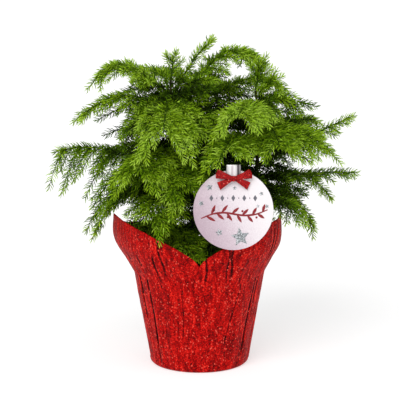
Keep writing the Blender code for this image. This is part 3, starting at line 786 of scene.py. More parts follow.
@dataclass
class GiftCover:
    """The pleated cover: a tapered skirt under a flared collar, notched at the front and back (mm).

    Flare, curl and pinch start at their first height and are full at their second. The pinch draws
    the left peak out and the right one in. Crush is (gain, waves) pairs, and waves are (length
    round the cover, length upward, seed).
    """

    foot_radius: float = 54
    slope: float = 0.173
    wall: float = 0.7
    fillet: float = 4.0
    hub: float = 2.0
    notch_height: float = 121
    peak_rise: float = 45
    peak_power: float = 0.64
    back_drop: float = 19
    back_fall: tuple = (-0.1, 0.5)
    gusset_dip: float = 1.5
    gusset_width: float = 0.11
    flare: tuple = (98, 138, 12.5)
    curl: tuple = (140, 168, 4.5)
    flare_at_notch: float = 0.35
    pinch: tuple = (104, 146, 2.8, -1.4)
    pinch_width: float = 0.05
    columns: int = 560
    rows: int = 104
    inner_rows: int = 14
    folds: tuple = (
        Fold(-65, -62, 52, 130, 2.2),
        Fold(-52, -48.5, 6, 132, 2.4),
        Fold(-37.5, -34.5, 92, 134, 1.5),
        Fold(-31, -29, 108, 154, 1.2),
        Fold(-80, -84, 6, 120, 1.8),
        Fold(65, 52, 16, 164, 2.6),
        Fold(70, 60, 70, 160, 1.8),
        Fold(41, 26, 26, 114, 0.7),
        Fold(5, 5.4, 100, 146, 1.0),
        Fold(22, 23.6, 104, 146, 1.2),
        Fold(25, 27.2, 102, 146, 1.2),
        Fold(79, 74, 10, 128, 1.9),
        Fold(-14, -17, 30, 100, 0.7),
    )
    hidden_folds: int = 16
    hidden_seed: int = 77
    hidden_turns: tuple = (98, 164)
    crush: tuple = ((1.0, (7.0, 60.0, 5)), (0.6, (3.6, 26.0, 6)))
    crush_depth: float = 0.26
    swell: tuple = (26.0, 120.0, 7)
    swell_depth: float = 0.5
    groove_gain: float = 0.4
    # Width of the painted shade along a fold's line, and strength of the painted highlight on its lips.
    line_width: float = 1.0
    lip_highlight_gain: float = 0.25
    fold_zone: float = 2.2
    peak_side: float = 0.75
    peak_clearance: float = 12.0

    def rim(self, turn: np.ndarray) -> np.ndarray:
        """Height of the edge: notch plus a power of the side share, with a dip at each side, lower behind.

        Args:
            turn: angles round the cover.

        Returns:
            Heights in metres.
        """
        side = np.abs(np.cos(turn))
        dip = self.gusset_dip * np.exp((side - 1.0) / self.gusset_width ** 2)
        rise = self.peak_rise - self.back_drop * smooth_step(np.sin(turn), *self.back_fall)
        return (self.notch_height + rise * side ** self.peak_power - dip) * MM

    def radius(self, turn: np.ndarray, height: np.ndarray) -> np.ndarray:
        """Outer radius without folds: a cone plus a collar that flares, is pinched at the sides and curls in.

        Args:
            turn: angles round the cover.
            height: heights in metres.

        Returns:
            Radii in metres.
        """
        share = self.flare_at_notch + (1.0 - self.flare_at_notch) * np.cos(turn) ** 2
        low, high, width = self.flare
        curl_low, curl_high, curl = self.curl
        flare = width * smooth_step(height, low * MM, high * MM)
        flare = flare - curl * smooth_step(height, curl_low * MM, curl_high * MM)
        pinch_low, pinch_high, left_pinch, right_pinch = self.pinch
        pinch = np.where(np.cos(turn) < 0, left_pinch, right_pinch)
        corner = np.exp((np.abs(np.cos(turn)) - 1.0) / self.pinch_width)
        flare = flare + pinch * corner * smooth_step(height, pinch_low * MM, pinch_high * MM)
        return (self.foot_radius + share * flare) * MM + self.slope * height

    def all_folds(self) -> list:
        """The folds that the photograph shows, and seeded ones round the back.

        Returns:
            The folds.
        """
        chance = Random(self.hidden_seed)
        first, spread = self.hidden_turns
        folds = list(self.folds)
        for k in range(self.hidden_folds):
            place = first + spread * (k + chance.uniform(0.2, 0.8)) / self.hidden_folds
            low, high = chance.uniform(4, 60), chance.uniform(105, 150)
            folds.append(Fold(place, place + chance.uniform(-6, 6), low, high, chance.uniform(1.0, 2.4)))
        return folds

    def relief(self, turn: np.ndarray, height: np.ndarray) -> tuple:
        """The folds, each a narrow Gaussian groove in a shallow wide one, over the crushed paper.

        Args:
            turn: angles round the cover.
            height: heights of the same shape.

        Returns:
            The depth in millimetres, and the painted shade: 1 in a fold's line, below 0 as a painted
            highlight on its lips.
        """
        depth = np.zeros(turn.shape)
        dark = np.zeros(turn.shape)
        radius = self.radius(turn, height) + 0 * turn
        for fold in self.all_folds():
            away = fold.away(turn, height, radius)
            fade = fold.fade(height)
            groove = np.exp(-(away / fold.width) ** 2) + 0.25 * np.exp(-(away / (4 * fold.width)) ** 2)
            depth += self.groove_gain * fold.depth * fade * groove
            # Paint shade along each fold's line and a highlight on its lips, as tone for the glitter paper.
            line_width = self.line_width * (0.6 + 0.3 * fold.depth)
            lip = np.exp(-((np.abs(away) - 2.4 * line_width) / line_width) ** 2)
            line = np.exp(-(away / line_width) ** 2)
            dark += min(1.0, 0.7 * fold.depth) * fade * (line - self.lip_highlight_gain * lip)
        around = turn * (self.foot_radius + 12)
        up = height / MM
        crush = sum(gain * wave_noise(around, up, *waves) for gain, waves in self.crush)
        swell = wave_noise(around, up, *self.swell)
        quiet = smooth_step(height, 0.0, 2 * self.fillet * MM)
        level = sum(gain for gain, _ in self.crush)
        crushed = self.crush_depth * (crush + level) + self.swell_depth * (swell + 1)
        return depth + crushed * quiet, np.clip(dark, -1, 1)

    def build(self, finish: Material) -> Object:
        """Outer wall, edge, inner wall and both floors as one closed skin of rings.

        Args:
            finish: the glitter paper.

        Returns:
            The cover.
        """
        turn = full_turn(self.columns)
        rim = self.rim(turn)[None]
        low = self.fillet * MM
        height = low + (rim - low) * np.linspace(0.0, 1.0, self.rows)[1:, None]
        depth, dark = self.relief(turn[None] + 0 * height, height)
        outer = self.radius(turn, height) - depth * MM
        foot_turns = np.radians(np.array([0, 30, 60, 90]))[:, None]
        foot = (self.foot_radius - self.fillet * (1 - np.sin(foot_turns))) * MM + 0 * turn
        foot_height = self.fillet * (1 - np.cos(foot_turns)) * MM + 0 * turn
        inner_share = np.linspace(1.0, 0.0, self.inner_rows)[:, None]
        floor = 2 * self.wall * MM
        inner_height = floor + (rim - floor) * inner_share
        nearest = np.round(inner_share * (self.rows - 2)).astype(int)[:, 0]
        foot_bend = low * (1 - smooth_step(inner_height, 0.0, 2 * low))
        inner = outer[nearest] - self.wall * MM - foot_bend
        flat = 0 * turn[None]
        hub = self.hub * MM + flat
        skin, faces = revolved(
            np.concatenate([hub, foot, outer, inner, hub]),
            np.concatenate([flat, foot_height, height, inner_height, floor + flat]),
        )
        # The folds' painted shade and lip highlights ride on the outer wall's points as an attribute.
        crease = np.zeros(skin.shape[:2])
        crease[len(foot) + 1:len(foot) + 1 + len(outer)] = dark
        piece = make_piece("gift_cover", skin, faces, finish, ("pot_cover",))
        piece.data.attributes.new("crease", "FLOAT", "POINT").data.foreach_set("value", crease.ravel())
        return piece

    def brushes_peak(self, path: np.ndarray) -> bool:
        """Tell whether a twig hangs against the outside of the cover in front of one of its side peaks.

        Args:
            path: the twig's points.

        Returns:
            Whether any of them does.
        """
        turn = np.arctan2(path[:, 1], path[:, 0])
        clearance = self.peak_clearance * MM
        away = np.hypot(path[:, 0], path[:, 1]) - self.radius(turn, path[:, 2])
        beside = (np.abs(np.cos(turn)) > self.peak_side) & (path[:, 1] < -clearance / 2)
        return bool(np.any(beside & (path[:, 2] < self.rim(turn)) & (away > 0) & (away < clearance)))

    def passes_wall(self, points: np.ndarray, margin: float = 0.8 * MM) -> np.ndarray:
        """Tell which short lines of points go through the wall, from side to side below the edge.

        Args:
            points: lines of points as (N, P, 3).
            margin: half the thickness that counts as wall.

        Returns:
            True for each line that would touch the wall.
        """
        turn = np.arctan2(points[..., 1], points[..., 0])
        away = np.hypot(points[..., 0], points[..., 1]) - self.radius(turn, points[..., 2])
        below = points[..., 2] < self.rim(turn) + margin
        deep = -margin - self.fold_zone * MM
        inside = np.any(below & (away < deep), axis=-1)
        outside = np.any(below & (away > margin), axis=-1)
        within = np.any(below & (away >= deep) & (away <= margin), axis=-1)
        return within | (inside & outside)


@dataclass
class NurseryPot:
    """The thin black pot inside the cover, with a rolled lip (mm)."""

    foot: float = 1.5
    foot_radius: float = 48
    rim_radius: float = 67
    height: float = 103
    wall: float = 1.0
    lip: float = 1.8
    hub: float = 0.5
    columns: int = 128

    def build(self, finish: Material) -> Object:
        """A profile carried round the axis: outside, rolled lip as a half circle, inside, floor.

        Args:
            finish: the moulded plastic.

        Returns:
            The pot.
        """
        top = self.foot + self.height
        neck = self.rim_radius - self.lip
        floor = self.foot + 2 * self.wall
        bend = np.linspace(-0.5 * np.pi, 0.5 * np.pi, 9)
        roll = np.stack([neck + self.lip * np.cos(bend), top - self.lip + self.lip * np.sin(bend)], axis=-1)
        profile = np.concatenate([
            [[self.hub, self.foot], [self.foot_radius - 1, self.foot], [self.foot_radius, self.foot + 1]],
            [[neck, top - 3 * self.lip]],
            roll,
            [[neck - self.wall, top - self.lip], [self.foot_radius - self.wall, floor], [self.hub, floor]],
        ]) * MM
        skin, faces = revolved(profile[:, :1] + np.zeros(self.columns), profile[:, 1:])
        return make_piece("pot_shell", skin, faces, finish, ("nursery_pot",))


@dataclass
class SoilSurface:
    """The potting mix: a crumbly crowned surface over a filled body, with loose bark bits (mm).

    Lumps are waves as (length, gain, seed), and chip is the largest half size of a bit.
    """

    radius: float = 62.0
    crown: float = 3.0
    body_foot: float = 5.0
    foot_radius: float = 45.0
    hub: float = 0.5
    sunk: float = 0.8
    rings: int = 60
    columns: int = 160
    lumps: tuple = ((11.0, 1.0, 21), (4.0, 0.8, 22))
    lump_height: float = 0.7
    chips: int = 620
    chip_seed: int = 31
    chip: tuple = (2.6, 1.56, 0.91)

    def build(self, finish: Material) -> Object:
        """Rings of a plate: crown times (1 - r squared) plus noise, over a plain tapered side.

        Args:
            finish: the moist mix.

        Returns:
            The filled mix.
        """
        turn = full_turn(self.columns)
        share = np.linspace(1.0, 0.01, self.rings)[:, None]
        radii = self.radius * share + 0 * turn
        x, y = radii * np.cos(turn), radii * np.sin(turn)
        lumps = sum(gain * wave_noise(x, y, size, size, seed) for size, gain, seed in self.lumps)
        edge = smooth_step(1 - share, 0.0, 0.05)
        crowned = SOIL_LEVEL / MM + self.crown * (1 - share ** 2) * edge
        top = crowned + self.lump_height * lumps * edge - self.sunk
        low_radii = np.array([[self.hub], [self.foot_radius]]) + 0 * turn
        radii = np.concatenate([low_radii, radii])
        heights = np.concatenate([self.body_foot + 0 * low_radii, top])
        skin, faces = revolved(radii * MM, heights * MM)
        return make_piece("soil_bed", skin, faces, finish, ("potting_mix",))

    def scatter(self, finish: Material) -> Object:
        """Bark bits as boxes whose corners are pushed about at random, half sunk in the mix.

        Args:
            finish: the moist mix.

        Returns:
            All the bits as one piece.
        """
        chance = np.random.default_rng(self.chip_seed)
        turn = chance.uniform(0, 2 * np.pi, self.chips)
        radii = self.radius * 0.96 * np.sqrt(chance.uniform(0, 1, self.chips))
        crown = self.crown * (1 - (radii / self.radius) ** 2)
        centre = np.stack([radii * np.cos(turn), radii * np.sin(turn), SOIL_LEVEL / MM + crown], axis=-1)
        signs = np.array([[i, j, k] for k in (-1, 1) for i, j in ((-1, -1), (1, -1), (1, 1), (-1, 1))], float)
        size = chance.uniform(0.35, 1.0, (self.chips, 1, 3)) * np.array(self.chip)
        corners = signs * size * chance.uniform(0.7, 1.2, (self.chips, 8, 3))
        spin = chance.uniform(0, 2 * np.pi, self.chips)[:, None]
        lean = chance.uniform(-0.6, 0.6, self.chips)[:, None]
        flat_x = corners[..., 0] * np.cos(spin) - corners[..., 1] * np.sin(spin)
        flat_y = corners[..., 0] * np.sin(spin) + corners[..., 1] * np.cos(spin)
        rise = corners[..., 2] + lean * corners[..., 0]
        points = (np.stack([flat_x, flat_y, rise], axis=-1) + centre[:, None]) * MM
        box = np.array([[3, 2, 1, 0], [4, 5, 6, 7], [0, 1, 5, 4], [1, 2, 6, 5], [2, 3, 7, 6], [3, 0, 4, 7]])
        faces = (box + 8 * np.arange(self.chips)[:, None, None]).reshape(-1, 4)
        return make_piece("soil_bark_bits", points, [faces], finish, smooth=False)


@dataclass
class OrnamentTag:
    """The round card with its cap, bow, stars and plain ornaments, on a clear stake (mm).

    Stars are (across, rise, size, lean in degrees) from the card's middle.
    """

    centre: tuple = (34.9, -83.0, 183.6)
    radius: float = 41.0
    thickness: float = 1.2
    lean: float = 6.0
    card_bevel: float = 0.18
    card_points: int = 180
    clearance: float = 1.5
    behind: tuple = (3.5, 2.5)
    cap_guard: float = 9.0
    cap_width: float = 15.0
    cap_height: float = 13.5
    cap_rise: float = 40.0
    cap_bulge: float = 2.2
    bow_rise: float = 32.3
    loop_reach: float = 17.2
    tail_reach: float = 15.4
    ribbon_thickness: float = 0.35
    stars: tuple = (
        (-24.6, 23.6, 3.4, 10), (1.4, 22.6, 1.9, 0), (28.6, 17.0, 2.1, 20), (-33.0, 7.0, 2.8, 30),
        (25.0, 4.2, 1.6, 5), (34.4, 4.0, 1.9, 12), (-14.4, -22.8, 3.6, 15), (7.2, -27.6, 8.6, 8),
    )
    row_start: tuple = (-22.5, 12.4)
    row_step: float = 5.6
    leaves: int = 12
    berries: int = 4

    def axes(self) -> tuple:
        """The card's right, up and front directions."""
        lean = np.radians(self.lean)
        return ACROSS, np.array([0, np.sin(lean), np.cos(lean)]), np.array([0, -np.cos(lean), np.sin(lean)])

    def place(self, flat: np.ndarray) -> np.ndarray:
        """Put points on the card's plane.

        Args:
            flat: points as (across, rise, forward) in millimetres.

        Returns:
            World points.
        """
        right, up, front = self.axes()
        level = np.array(self.centre) + flat[..., :1] * right
        return (level + flat[..., 1:2] * up + flat[..., 2:] * front) * MM

    def flat(self, points: np.ndarray) -> np.ndarray:
        """World points as (across, rise, forward) from the card's middle, in millimetres."""
        away = points / MM - np.array(self.centre)
        return np.stack([away @ axis for axis in self.axes()], axis=-1)

    def hides(self, points: np.ndarray) -> np.ndarray:
        """Tell which lines of points would touch the card or cap, or hang in front of them.

        Args:
            points: lines of points as (N, P, 3).

        Returns:
            True for each such line.
        """
        spot = self.flat(points)
        across, rise, forward = spot[..., 0], spot[..., 1], spot[..., 2]
        behind_card, behind_cap = self.behind
        disc = (np.hypot(across, rise) < self.radius + self.clearance) & (forward > -behind_card)
        beside = np.abs(across) < 0.5 * self.cap_width + self.clearance
        cap = beside & (np.abs(rise - self.cap_rise) < self.cap_guard) & (forward > -behind_cap)
        return np.any(disc | cap, axis=-1)

    def slab(self, name: str, outlines: list, depths: tuple, finish: Material,
             replaced: tuple = (), bevel: float = 0.0) -> Object:
        """Flat pieces on the card: each outline as rings at two depths, closed by fans.

        Args:
            name: the piece's name.
            outlines: arrays of (across, rise), anticlockwise seen from the front.
            depths: where they start and end, forward of the card's middle plane.
            finish: the material.
            replaced: CAD nodes that they stand for.
            bevel: how far the front edge is drawn in.

        Returns:
            The piece.
        """
        points, quads, fans = [], [], []
        first = 0
        back, front = depths
        for edge in outlines:
            count = len(edge)
            middle = edge.mean(axis=0)
            reach = np.maximum(np.linalg.norm(edge - middle, axis=1), 0.1).max()
            rings = [(edge, back), (edge, front - bevel)]
            if bevel:
                rings.append((middle + (edge - middle) * (1 - bevel / reach), front))
            points += [np.column_stack([ring, np.full(count, depth)]) for ring, depth in rings]
            points.append([[*middle, back], [*middle, front]])
            quads.append(grid_faces(len(rings), count, first=first))
            tail = first + len(rings) * count
            step = np.arange(count)
            after = (step + 1) % count
            last = tail - count
            fans.append(np.stack([np.full(count, tail), first + after, first + step], axis=-1))
            fans.append(np.stack([np.full(count, tail + 1), last + step, last + after], axis=-1))
            first = tail + 2
        faces = [np.concatenate(quads), np.concatenate(fans)]
        skin = self.place(np.concatenate(points))
        return make_piece(name, skin, faces, finish, replaced, smooth=False)

    def printed(self, rise: float) -> tuple:
        """Depths of a print on the card, sunk a little in it and standing up by rise."""
        return self.thickness / 2 - 0.1, self.thickness / 2 + rise

    def build_card(self, finish: Material) -> Object:
        """The disc: one circle with a slightly drawn-in front edge.

        Args:
            finish: the coated card.

        Returns:
            The card.
        """
        disc = [oval(0.0, 0.0, self.radius, self.radius, self.card_points)]
        depths = (-self.thickness / 2, self.thickness / 2)
        return self.slab("tag_disc", disc, depths, finish, ("tag_card",), self.card_bevel)

    def star(self, across: float, rise: float, size: float, lean: float) -> np.ndarray:
        """A five-pointed star: radius switches between full and 0.46 at every 36 degrees.

        Args:
            across: its middle, to the right.
            rise: its middle, up.
            size: the star's size; its points reach 1.15 times as far.
            lean: its turn in degrees.

        Returns:
            Its outline, anticlockwise.
        """
        turn = np.radians(90 + lean + 36 * np.arange(10))
        reach = 1.15 * size * np.where(np.arange(10) % 2 == 0, 1.0, 0.46)
        return np.stack([across + reach * np.cos(turn), rise + reach * np.sin(turn)], axis=-1)

    def build_stars(self, finish: Material) -> Object:
        """The silver stars, printed thick with glitter."""
        outlines = [self.star(*star) for star in self.stars]
        return self.slab("tag_stars", outlines, self.printed(0.25), finish)

    def leaf(self, root: np.ndarray, length: float, width: float, lean: float) -> np.ndarray:
        """A pointed leaf: half width is width sin(pi t) to the power 0.8 along its length.

        Args:
            root: where it starts, as (across, rise).
            length: its length.
            width: its full width.
            lean: its direction in degrees from the right.

        Returns:
            Its outline, anticlockwise.
        """
        share = np.linspace(0, 1, 8)
        half = 0.5 * width * np.sin(np.pi * share) ** 0.8
        along = np.concatenate([share, share[-2:0:-1]]) * length
        side = np.concatenate([-half, half[-2:0:-1]])
        turn = np.radians(lean)
        return root + np.stack([along * np.cos(turn) - side * np.sin(turn),
                                along * np.sin(turn) + side * np.cos(turn)], axis=-1)

    def build_row(self, finish: Material) -> Object:
        """A plain row of small diamonds with dots between them.

        Args:
            finish: the grey ink.

        Returns:
            The row.
        """
        start, rise = self.row_start
        row = []
        for k in range(9):
            size, corners = (3.3, 4) if k % 2 == 0 else (0.8, 12)
            row.append(oval(start + self.row_step * k, rise, 0.6 * size, size, corners))
        return self.slab("tag_diamond_row", row, self.printed(0.12), finish)

    def build_sprig(self, finish: Material) -> Object:
        """A red sprig: a line that rises with one sine wave, in three lengths, with leaves and berries.

        Args:
            finish: the red ink.

        Returns:
            The sprig.
        """
        share = np.linspace(0, 1, 40)
        line = np.stack([-33 + 68 * share, -8.5 + 9 * share + 3.4 * np.sin(2 * np.pi * share)], axis=-1)
        along = unit(np.gradient(line, axis=0))
        normal = np.stack([-along[:, 1], along[:, 0]], axis=-1) * (0.5 + 0.5 * np.sin(np.pi * share))[:, None]
        sprig = []
        for part in (slice(0, 14), slice(13, 27), slice(26, 40)):
            sprig.append(np.concatenate([line[part] - normal[part], (line[part] + normal[part])[::-1]]))
        for k in range(self.leaves):
            spot = 3 + 3 * k
            lean = np.degrees(np.arctan2(along[spot, 1], along[spot, 0])) + (50 if k % 2 else -50)
            sprig.append(self.leaf(line[spot], 10.8 - 0.2 * k, 3.0, lean))
        for k in range(self.berries):
            spot = 8 + 8 * k
            sprig.append(oval(*(line[spot] + normal[spot] * 4.4 * (-1) ** k), 1.15, 1.15, 14))
        return self.slab("tag_sprig", sprig, self.printed(0.14), finish)

    def build_cap(self, finish: Material) -> Object:
        """The silver cap: a half round bulging forward, root of (1 - x squared), with a rounded top.

        Args:
            finish: the silver.

        Returns:
            The cap.
        """
        columns, rows = 49, 26
        across = np.linspace(-1, 1, columns)[None]
        rise = np.linspace(-1, 1, rows)[:, None]
        bulge = np.sqrt(np.clip(1 - across ** 2, 0, 1)) * (1 - 0.35 * smooth_step(rise, 0.82, 1.0))
        base = self.thickness / 2 + 0.3
        x = 0.5 * self.cap_width * across * (1 - 0.04 * smooth_step(rise, 0.8, 1.0))
        z = self.cap_rise + 0.5 * self.cap_height * rise + 0 * across
        face = np.stack([x, z, base + 0.5 + self.cap_bulge * bulge], axis=-1)
        rear = np.stack([x, z, base + 0 * x], axis=-1)
        count = columns * rows
        quads = grid_faces(rows, columns, closed=False)
        border = np.concatenate([
            np.arange(columns), np.arange(1, rows) * columns + columns - 1,
            count - 2 - np.arange(columns - 1), (np.arange(rows - 2, 0, -1)) * columns,
        ])
        after = np.roll(border, -1)
        wall = np.stack([border + count, after + count, after, border], axis=-1)
        faces = [quads, quads[:, ::-1] + count, wall]
        skin = self.place(np.stack([face, rear]))
        return make_piece("tag_silver_cap", skin, faces, finish, ("tag_cap",))

    def ribbon(self, middle: np.ndarray, width: np.ndarray, lean: tuple) -> tuple:
        """A cupped strip carried along a path, its thickness closed round it.

        Args:
            middle: the path, as (K, 3) of across, rise and forward.
            width: the strip's width at each point.
            lean: the strip's cross direction.

        Returns:
            Its points and its quads.
        """
        across = unit(np.array(lean)) + 0 * middle
        forward = unit(np.gradient(middle, axis=0))
        normal = unit(np.cross(across, forward))[:, None]
        slots = np.linspace(-0.5, 0.5, 7)[:, None]
        sheet = across[:, None] * slots + normal * 0.10 * np.cos(np.pi * slots)
        sheet = middle[:, None] + sheet * width[:, None, None]
        half = normal * self.ribbon_thickness / 2
        ring = np.concatenate([sheet + half, (sheet - half)[:, ::-1]], axis=1)
        rows, count = ring.shape[:2]
        step = np.arange(6)
        end = np.stack([step, 1 + step, 12 - step, 13 - step], axis=-1)
        quads = [grid_faces(rows, count), end[:, ::-1], end + (rows - 1) * count]
        return ring.reshape(-1, 3), np.concatenate(quads)

    def build_bow(self, finish: Material) -> Object:
        """Two folded loops, two tails and a knot, each a ribbon along its own path.

        Args:
            finish: the glitter ribbon.

        Returns:
            The bow.
        """
        knot = np.array([0.4, self.bow_rise + 0.3, 4.6])
        share = np.linspace(0, 1, 25)
        reach = np.sin(0.5 * np.pi * share) ** 0.9
        lift = 1.0 + 1.1 * np.sin(2 * np.pi * share) + 1.4 * share
        loop_width = 2.2 + 7.6 * reach
        parts = []
        for side in (-1, 1):
            out = np.stack([side * self.loop_reach * reach, 5.0 * reach, lift], axis=-1)
            loop = np.concatenate([out, out[::-1] + np.array([0, 0.6, -2.2]) * share[:, None]])
            width = np.concatenate([loop_width, loop_width[::-1]])
            parts.append(self.ribbon(knot + loop, width, (-0.25 * side, 1.0, 0.12)))
            fall, forward = -7.8 * share ** 1.15, 0.6 - 1.6 * share ** 2
            tail = np.stack([side * self.tail_reach * share ** 0.95, fall, forward], axis=-1)
            parts.append(self.ribbon(knot + tail, 2.2 + 6.4 * share ** 0.8, (0.45 * side, 1.0, 0.1)))
        turn = np.linspace(0, 2 * np.pi, 17)
        band = np.stack([0.3 * np.cos(turn), 2.5 * np.sin(turn), 1.4 * np.cos(turn) + 0.9], axis=-1)
        parts.append(self.ribbon(knot + band, np.full(len(band), 3.2), (1.0, 0.0, 0.0)))
        starts = np.cumsum([0] + [len(points) for points, _ in parts])
        faces = np.concatenate([quads + start for (_, quads), start in zip(parts, starts)])
        points = self.place(np.concatenate([points for points, _ in parts]))
        return make_piece("tag_ribbon_bow", points, [faces], finish, ("tag_bow",))


class Rank(IntEnum):
    """What a shoot is: a branch's spine, a side twig, a finer twig on one, or a stretch of stem."""

    SPINE = 0
    TWIG = 1
    FINER = 2
    STEM = 3


@dataclass
class Shoots:
    """All the leafy shoots of the plant as paths of equal point count, with what their needles need."""

    steps: int = 9
    rows: list = field(default_factory=list)

    def add(self, path: np.ndarray, thick: tuple, glow: float, rank: Rank) -> None:
        """Add one shoot: its path, its radii (mm) at root and tip, its glow and its rank."""
        self.rows.append((path, thick, glow, rank))

    def arrays(self) -> list:
        """Paths, radii, glow and rank as arrays."""
        return [np.array(column) for column in zip(*self.rows)]


@dataclass(frozen=True)
class CrownLight:
    """How bright the greens are: painted shade darkest inside the crown, painted light brighter outward
    and upward, and fresh tips paler as young growth.

    The crown is an ellipsoid with a middle and half sizes in metres, and the gains count in tints.
    """

    middle: tuple = (0.005, 0.005, 0.215)
    half_size: tuple = (0.16, 0.12, 0.13)
    base: float = 0.95
    # The outward and high gains paint light and shade; the tip gain is the paler young growth.
    outward_gain: float = 1.9
    outward_limit: float = 1.15
    tip_gain: float = 1.7
    tip_length_mm: float = 9.0
    high_gain: float = 0.6
    high_start: float = 0.20
    high_range: float = 0.14
    spray_spread: float = 0.85

    def tints(self, root: np.ndarray, last: np.ndarray, shift: np.ndarray) -> np.ndarray:
        """Choose a tint for each needle.

        Args:
            root: the needles' roots.
            last: millimetres from each root to its shoot's tip.
            shift: the branch's glow and the spray's own draw.

        Returns:
            Tint numbers.
        """
        # Painted light: brighter outward from the crown's middle and higher up; darker inside as painted
        # shade.
        outward = np.linalg.norm((root - np.array(self.middle)) / np.array(self.half_size), axis=1)
        light = self.base + self.outward_gain * np.clip(outward, 0, self.outward_limit) + shift
        light = light + self.tip_gain * np.exp(-last / self.tip_length_mm)
        light = light + self.high_gain * np.clip((root[:, 2] - self.high_start) / self.high_range, -0.6, 1)
        return np.clip(np.round(light), 0, len(Tint) - 1).astype(int)


@dataclass
class Plant:
    """Stems, boughs, twigs and needles, grown by the same seeded rule as the solids and carried finer.

    Lengths are in millimetres, and the needles' lean is in degrees at a shoot's root and its tip. A
    needle's bends are how far its lower and upper parts turn forward and their shares of its length,
    and its rings are the two rings' radii in widths. A shoot's radii are at its root and its tip.
    """

    cover: GiftCover
    tag: OrnamentTag
    light: CrownLight = CrownLight()
    needle_length: float = 8.6
    needle_width: float = 1.1
    needles_per_mm: float = 1.4
    rank_density: tuple = (1.0, 1.0, 1.05, 0.55)
    needle_lean: tuple = (60, 30)
    needle_bends: tuple = ((0.12, 0.64), (0.9, 0.42))
    needle_rings: tuple = (0.42, 0.5)
    needle_flatness: float = 0.75
    needle_triangles: int = 10
    needle_margin: float = 0.3
    needle_gap: float = 1.0
    twig_gap: float = 3.0
    tip_lift: float = 0.06
    tip_zone: float = 3.5
    tip_shorter: float = 0.42
    fine_shorter: float = 0.86
    bare_root: float = 0.06
    length_spread: tuple = (0.82, 1.12)
    width_spread: tuple = (0.85, 1.1)
    lean_spread: float = 5.0
    turn_spread: float = 0.25
    tone_places: tuple = (0.35, 0.65)
    spine_radii: tuple = (1.3, 0.5)
    twig_radii: tuple = (0.5, 0.32)
    fine_radii: tuple = (0.4, 0.28)
    spray_radii: tuple = (0.7, 0.4)
    stem_radii: tuple = (1.6, 1.5)
    # Needles on the stems and the sprays in the crown's middle are painted darker as shade.
    stem_shade_shift: float = -1.3
    inner_shade_shift: float = -1.5
    inner_lush: float = 0.9
    inner_droop: float = 0.4
    branch_seed: int = 1000
    finer_seed: int = 5000
    inner_seed: int = 9000
    needle_seed: int = 17
    spray_seed: int = 23
    twist_seed: int = 29
    spray_needles: int = 4
    bough_radii: tuple = (1.7, 1.35)
    bough_steps: int = 40
    stem_steps: int = 240
    fine_twig: tuple = (13.0, 22.0)
    inner_spray: tuple = (42, 70)
    inner_foot: float = 128.0
    spray_gap: float = 2.6
    spray_phase: float = 1.6
    bark_sides: int = 20
    shoots: Shoots = field(default_factory=Shoots)

    def stem(self, name: str) -> Stem:
        """The stem of that name."""
        return next(stem for stem in STEMS if stem.name == name)

    def bark_tubes(self, points: np.ndarray, radii: np.ndarray) -> tuple:
        """Tubes with relief: old needle bases as a lattice of two crossing spirals of cosine bumps.

        Args:
            points: paths as (S, K, 3).
            radii: plain radii as (S, K).

        Returns:
            The points and the faces.
        """
        steps = np.linalg.norm(np.diff(points, axis=1, prepend=points[:, :1]), axis=-1)
        along = np.cumsum(steps, axis=1) / MM
        turn = full_turn(self.bark_sides)
        first = np.cos(3 * turn + 2 * np.pi * along[..., None] / 3.4)
        second = np.cos(2 * turn - 2 * np.pi * along[..., None] / 2.6)
        bumps = 0.25 * (1 + first) * (1 + second)
        return tubes(points, radii[..., None] * (0.93 + 0.16 * bumps), self.bark_sides)

    def build_stems(self, finish: Material) -> None:
        """Build each stem from the flat cut on the mix to its tip.

        Args:
            finish: the bark.
        """
        for stem in STEMS:
            height = np.linspace(SOIL_LEVEL + 0.3 * MM, stem.height * MM, self.stem_steps)
            skin, faces = self.bark_tubes(stem.point(height)[None], stem.thickness(height)[None])
            make_piece(stem.name + "_bark", skin, faces, finish, (stem.name,))

    def build_boughs(self, finish: Material) -> Object:
        """The main boughs, one tapering limb each, from stem to foliage.

        Args:
            finish: the bark.

        Returns:
            All the boughs as one piece.
        """
        bearing = [branch for branch in BRANCHES if branch.bough]
        paths = []
        for branch in bearing:
            stem = self.stem(branch.stem)
            start = stem.thickness(np.asarray(branch.height * MM)) / (branch.reach * MM)
            paths.append(branch.point(stem, np.linspace(start, BOUGH_SHARE, self.bough_steps)))
        radii = np.tile(np.linspace(*self.bough_radii, self.bough_steps) * MM, (len(paths), 1))
        skin, faces = self.bark_tubes(np.array(paths), radii)
        nodes = tuple("bough_" + branch.name for branch in bearing)
        return make_piece("boughs_bark", skin, faces, finish, nodes)

    def twig_path(self, root: np.ndarray, forward: np.ndarray, away: np.ndarray, length: float,
                  droop: float) -> np.ndarray:
        """Root plus length times (away t + (0.18 forward - droop up) t squared), as the solids have it."""
        share = np.linspace(0, 1, self.shoots.steps)[:, None]
        return root + (away * share + (forward * CURL_FORWARD - UP * droop) * share ** 2) * length

    def side_of(self, forward: np.ndarray) -> np.ndarray:
        """The level direction across a twig."""
        across = np.cross(forward, UP)
        return ACROSS if np.linalg.norm(across) < STEEP else unit(across)

    def grow(self) -> None:
        """Grow every branch: its spine, the solids' side twigs, their opposite partners and finer twigs."""
        for index, branch in enumerate(BRANCHES):
            stem = self.stem(branch.stem)
            chance = Random(self.branch_seed + index)
            extra = Random(self.finer_seed + index)
            reach = max(branch.reach, branch.tip - branch.height) * MM
            start = 0.02 if branch.upright else float(stem.thickness(np.asarray(branch.height * MM))) / reach
            if branch.bough:
                start = BOUGH_SHARE
            spine = branch.point(stem, np.linspace(start, 1.0, self.shoots.steps))
            self.shoots.add(spine, self.spine_radii, branch.glow, Rank.SPINE)
            first = UPRIGHT_SHARE if branch.upright else max(TWIG_SHARES[0], start + 0.03)
            for k in range(branch.twigs):
                share = first + (TWIG_SHARES[1] - first) * (k + 0.5) / branch.twigs
                self.grow_pair(branch, index, k, share, chance, extra)
            for k in range(0 if branch.upright else 2):
                self.grow_pair(branch, index, k, extra.uniform(0.09, 0.22), extra, extra)

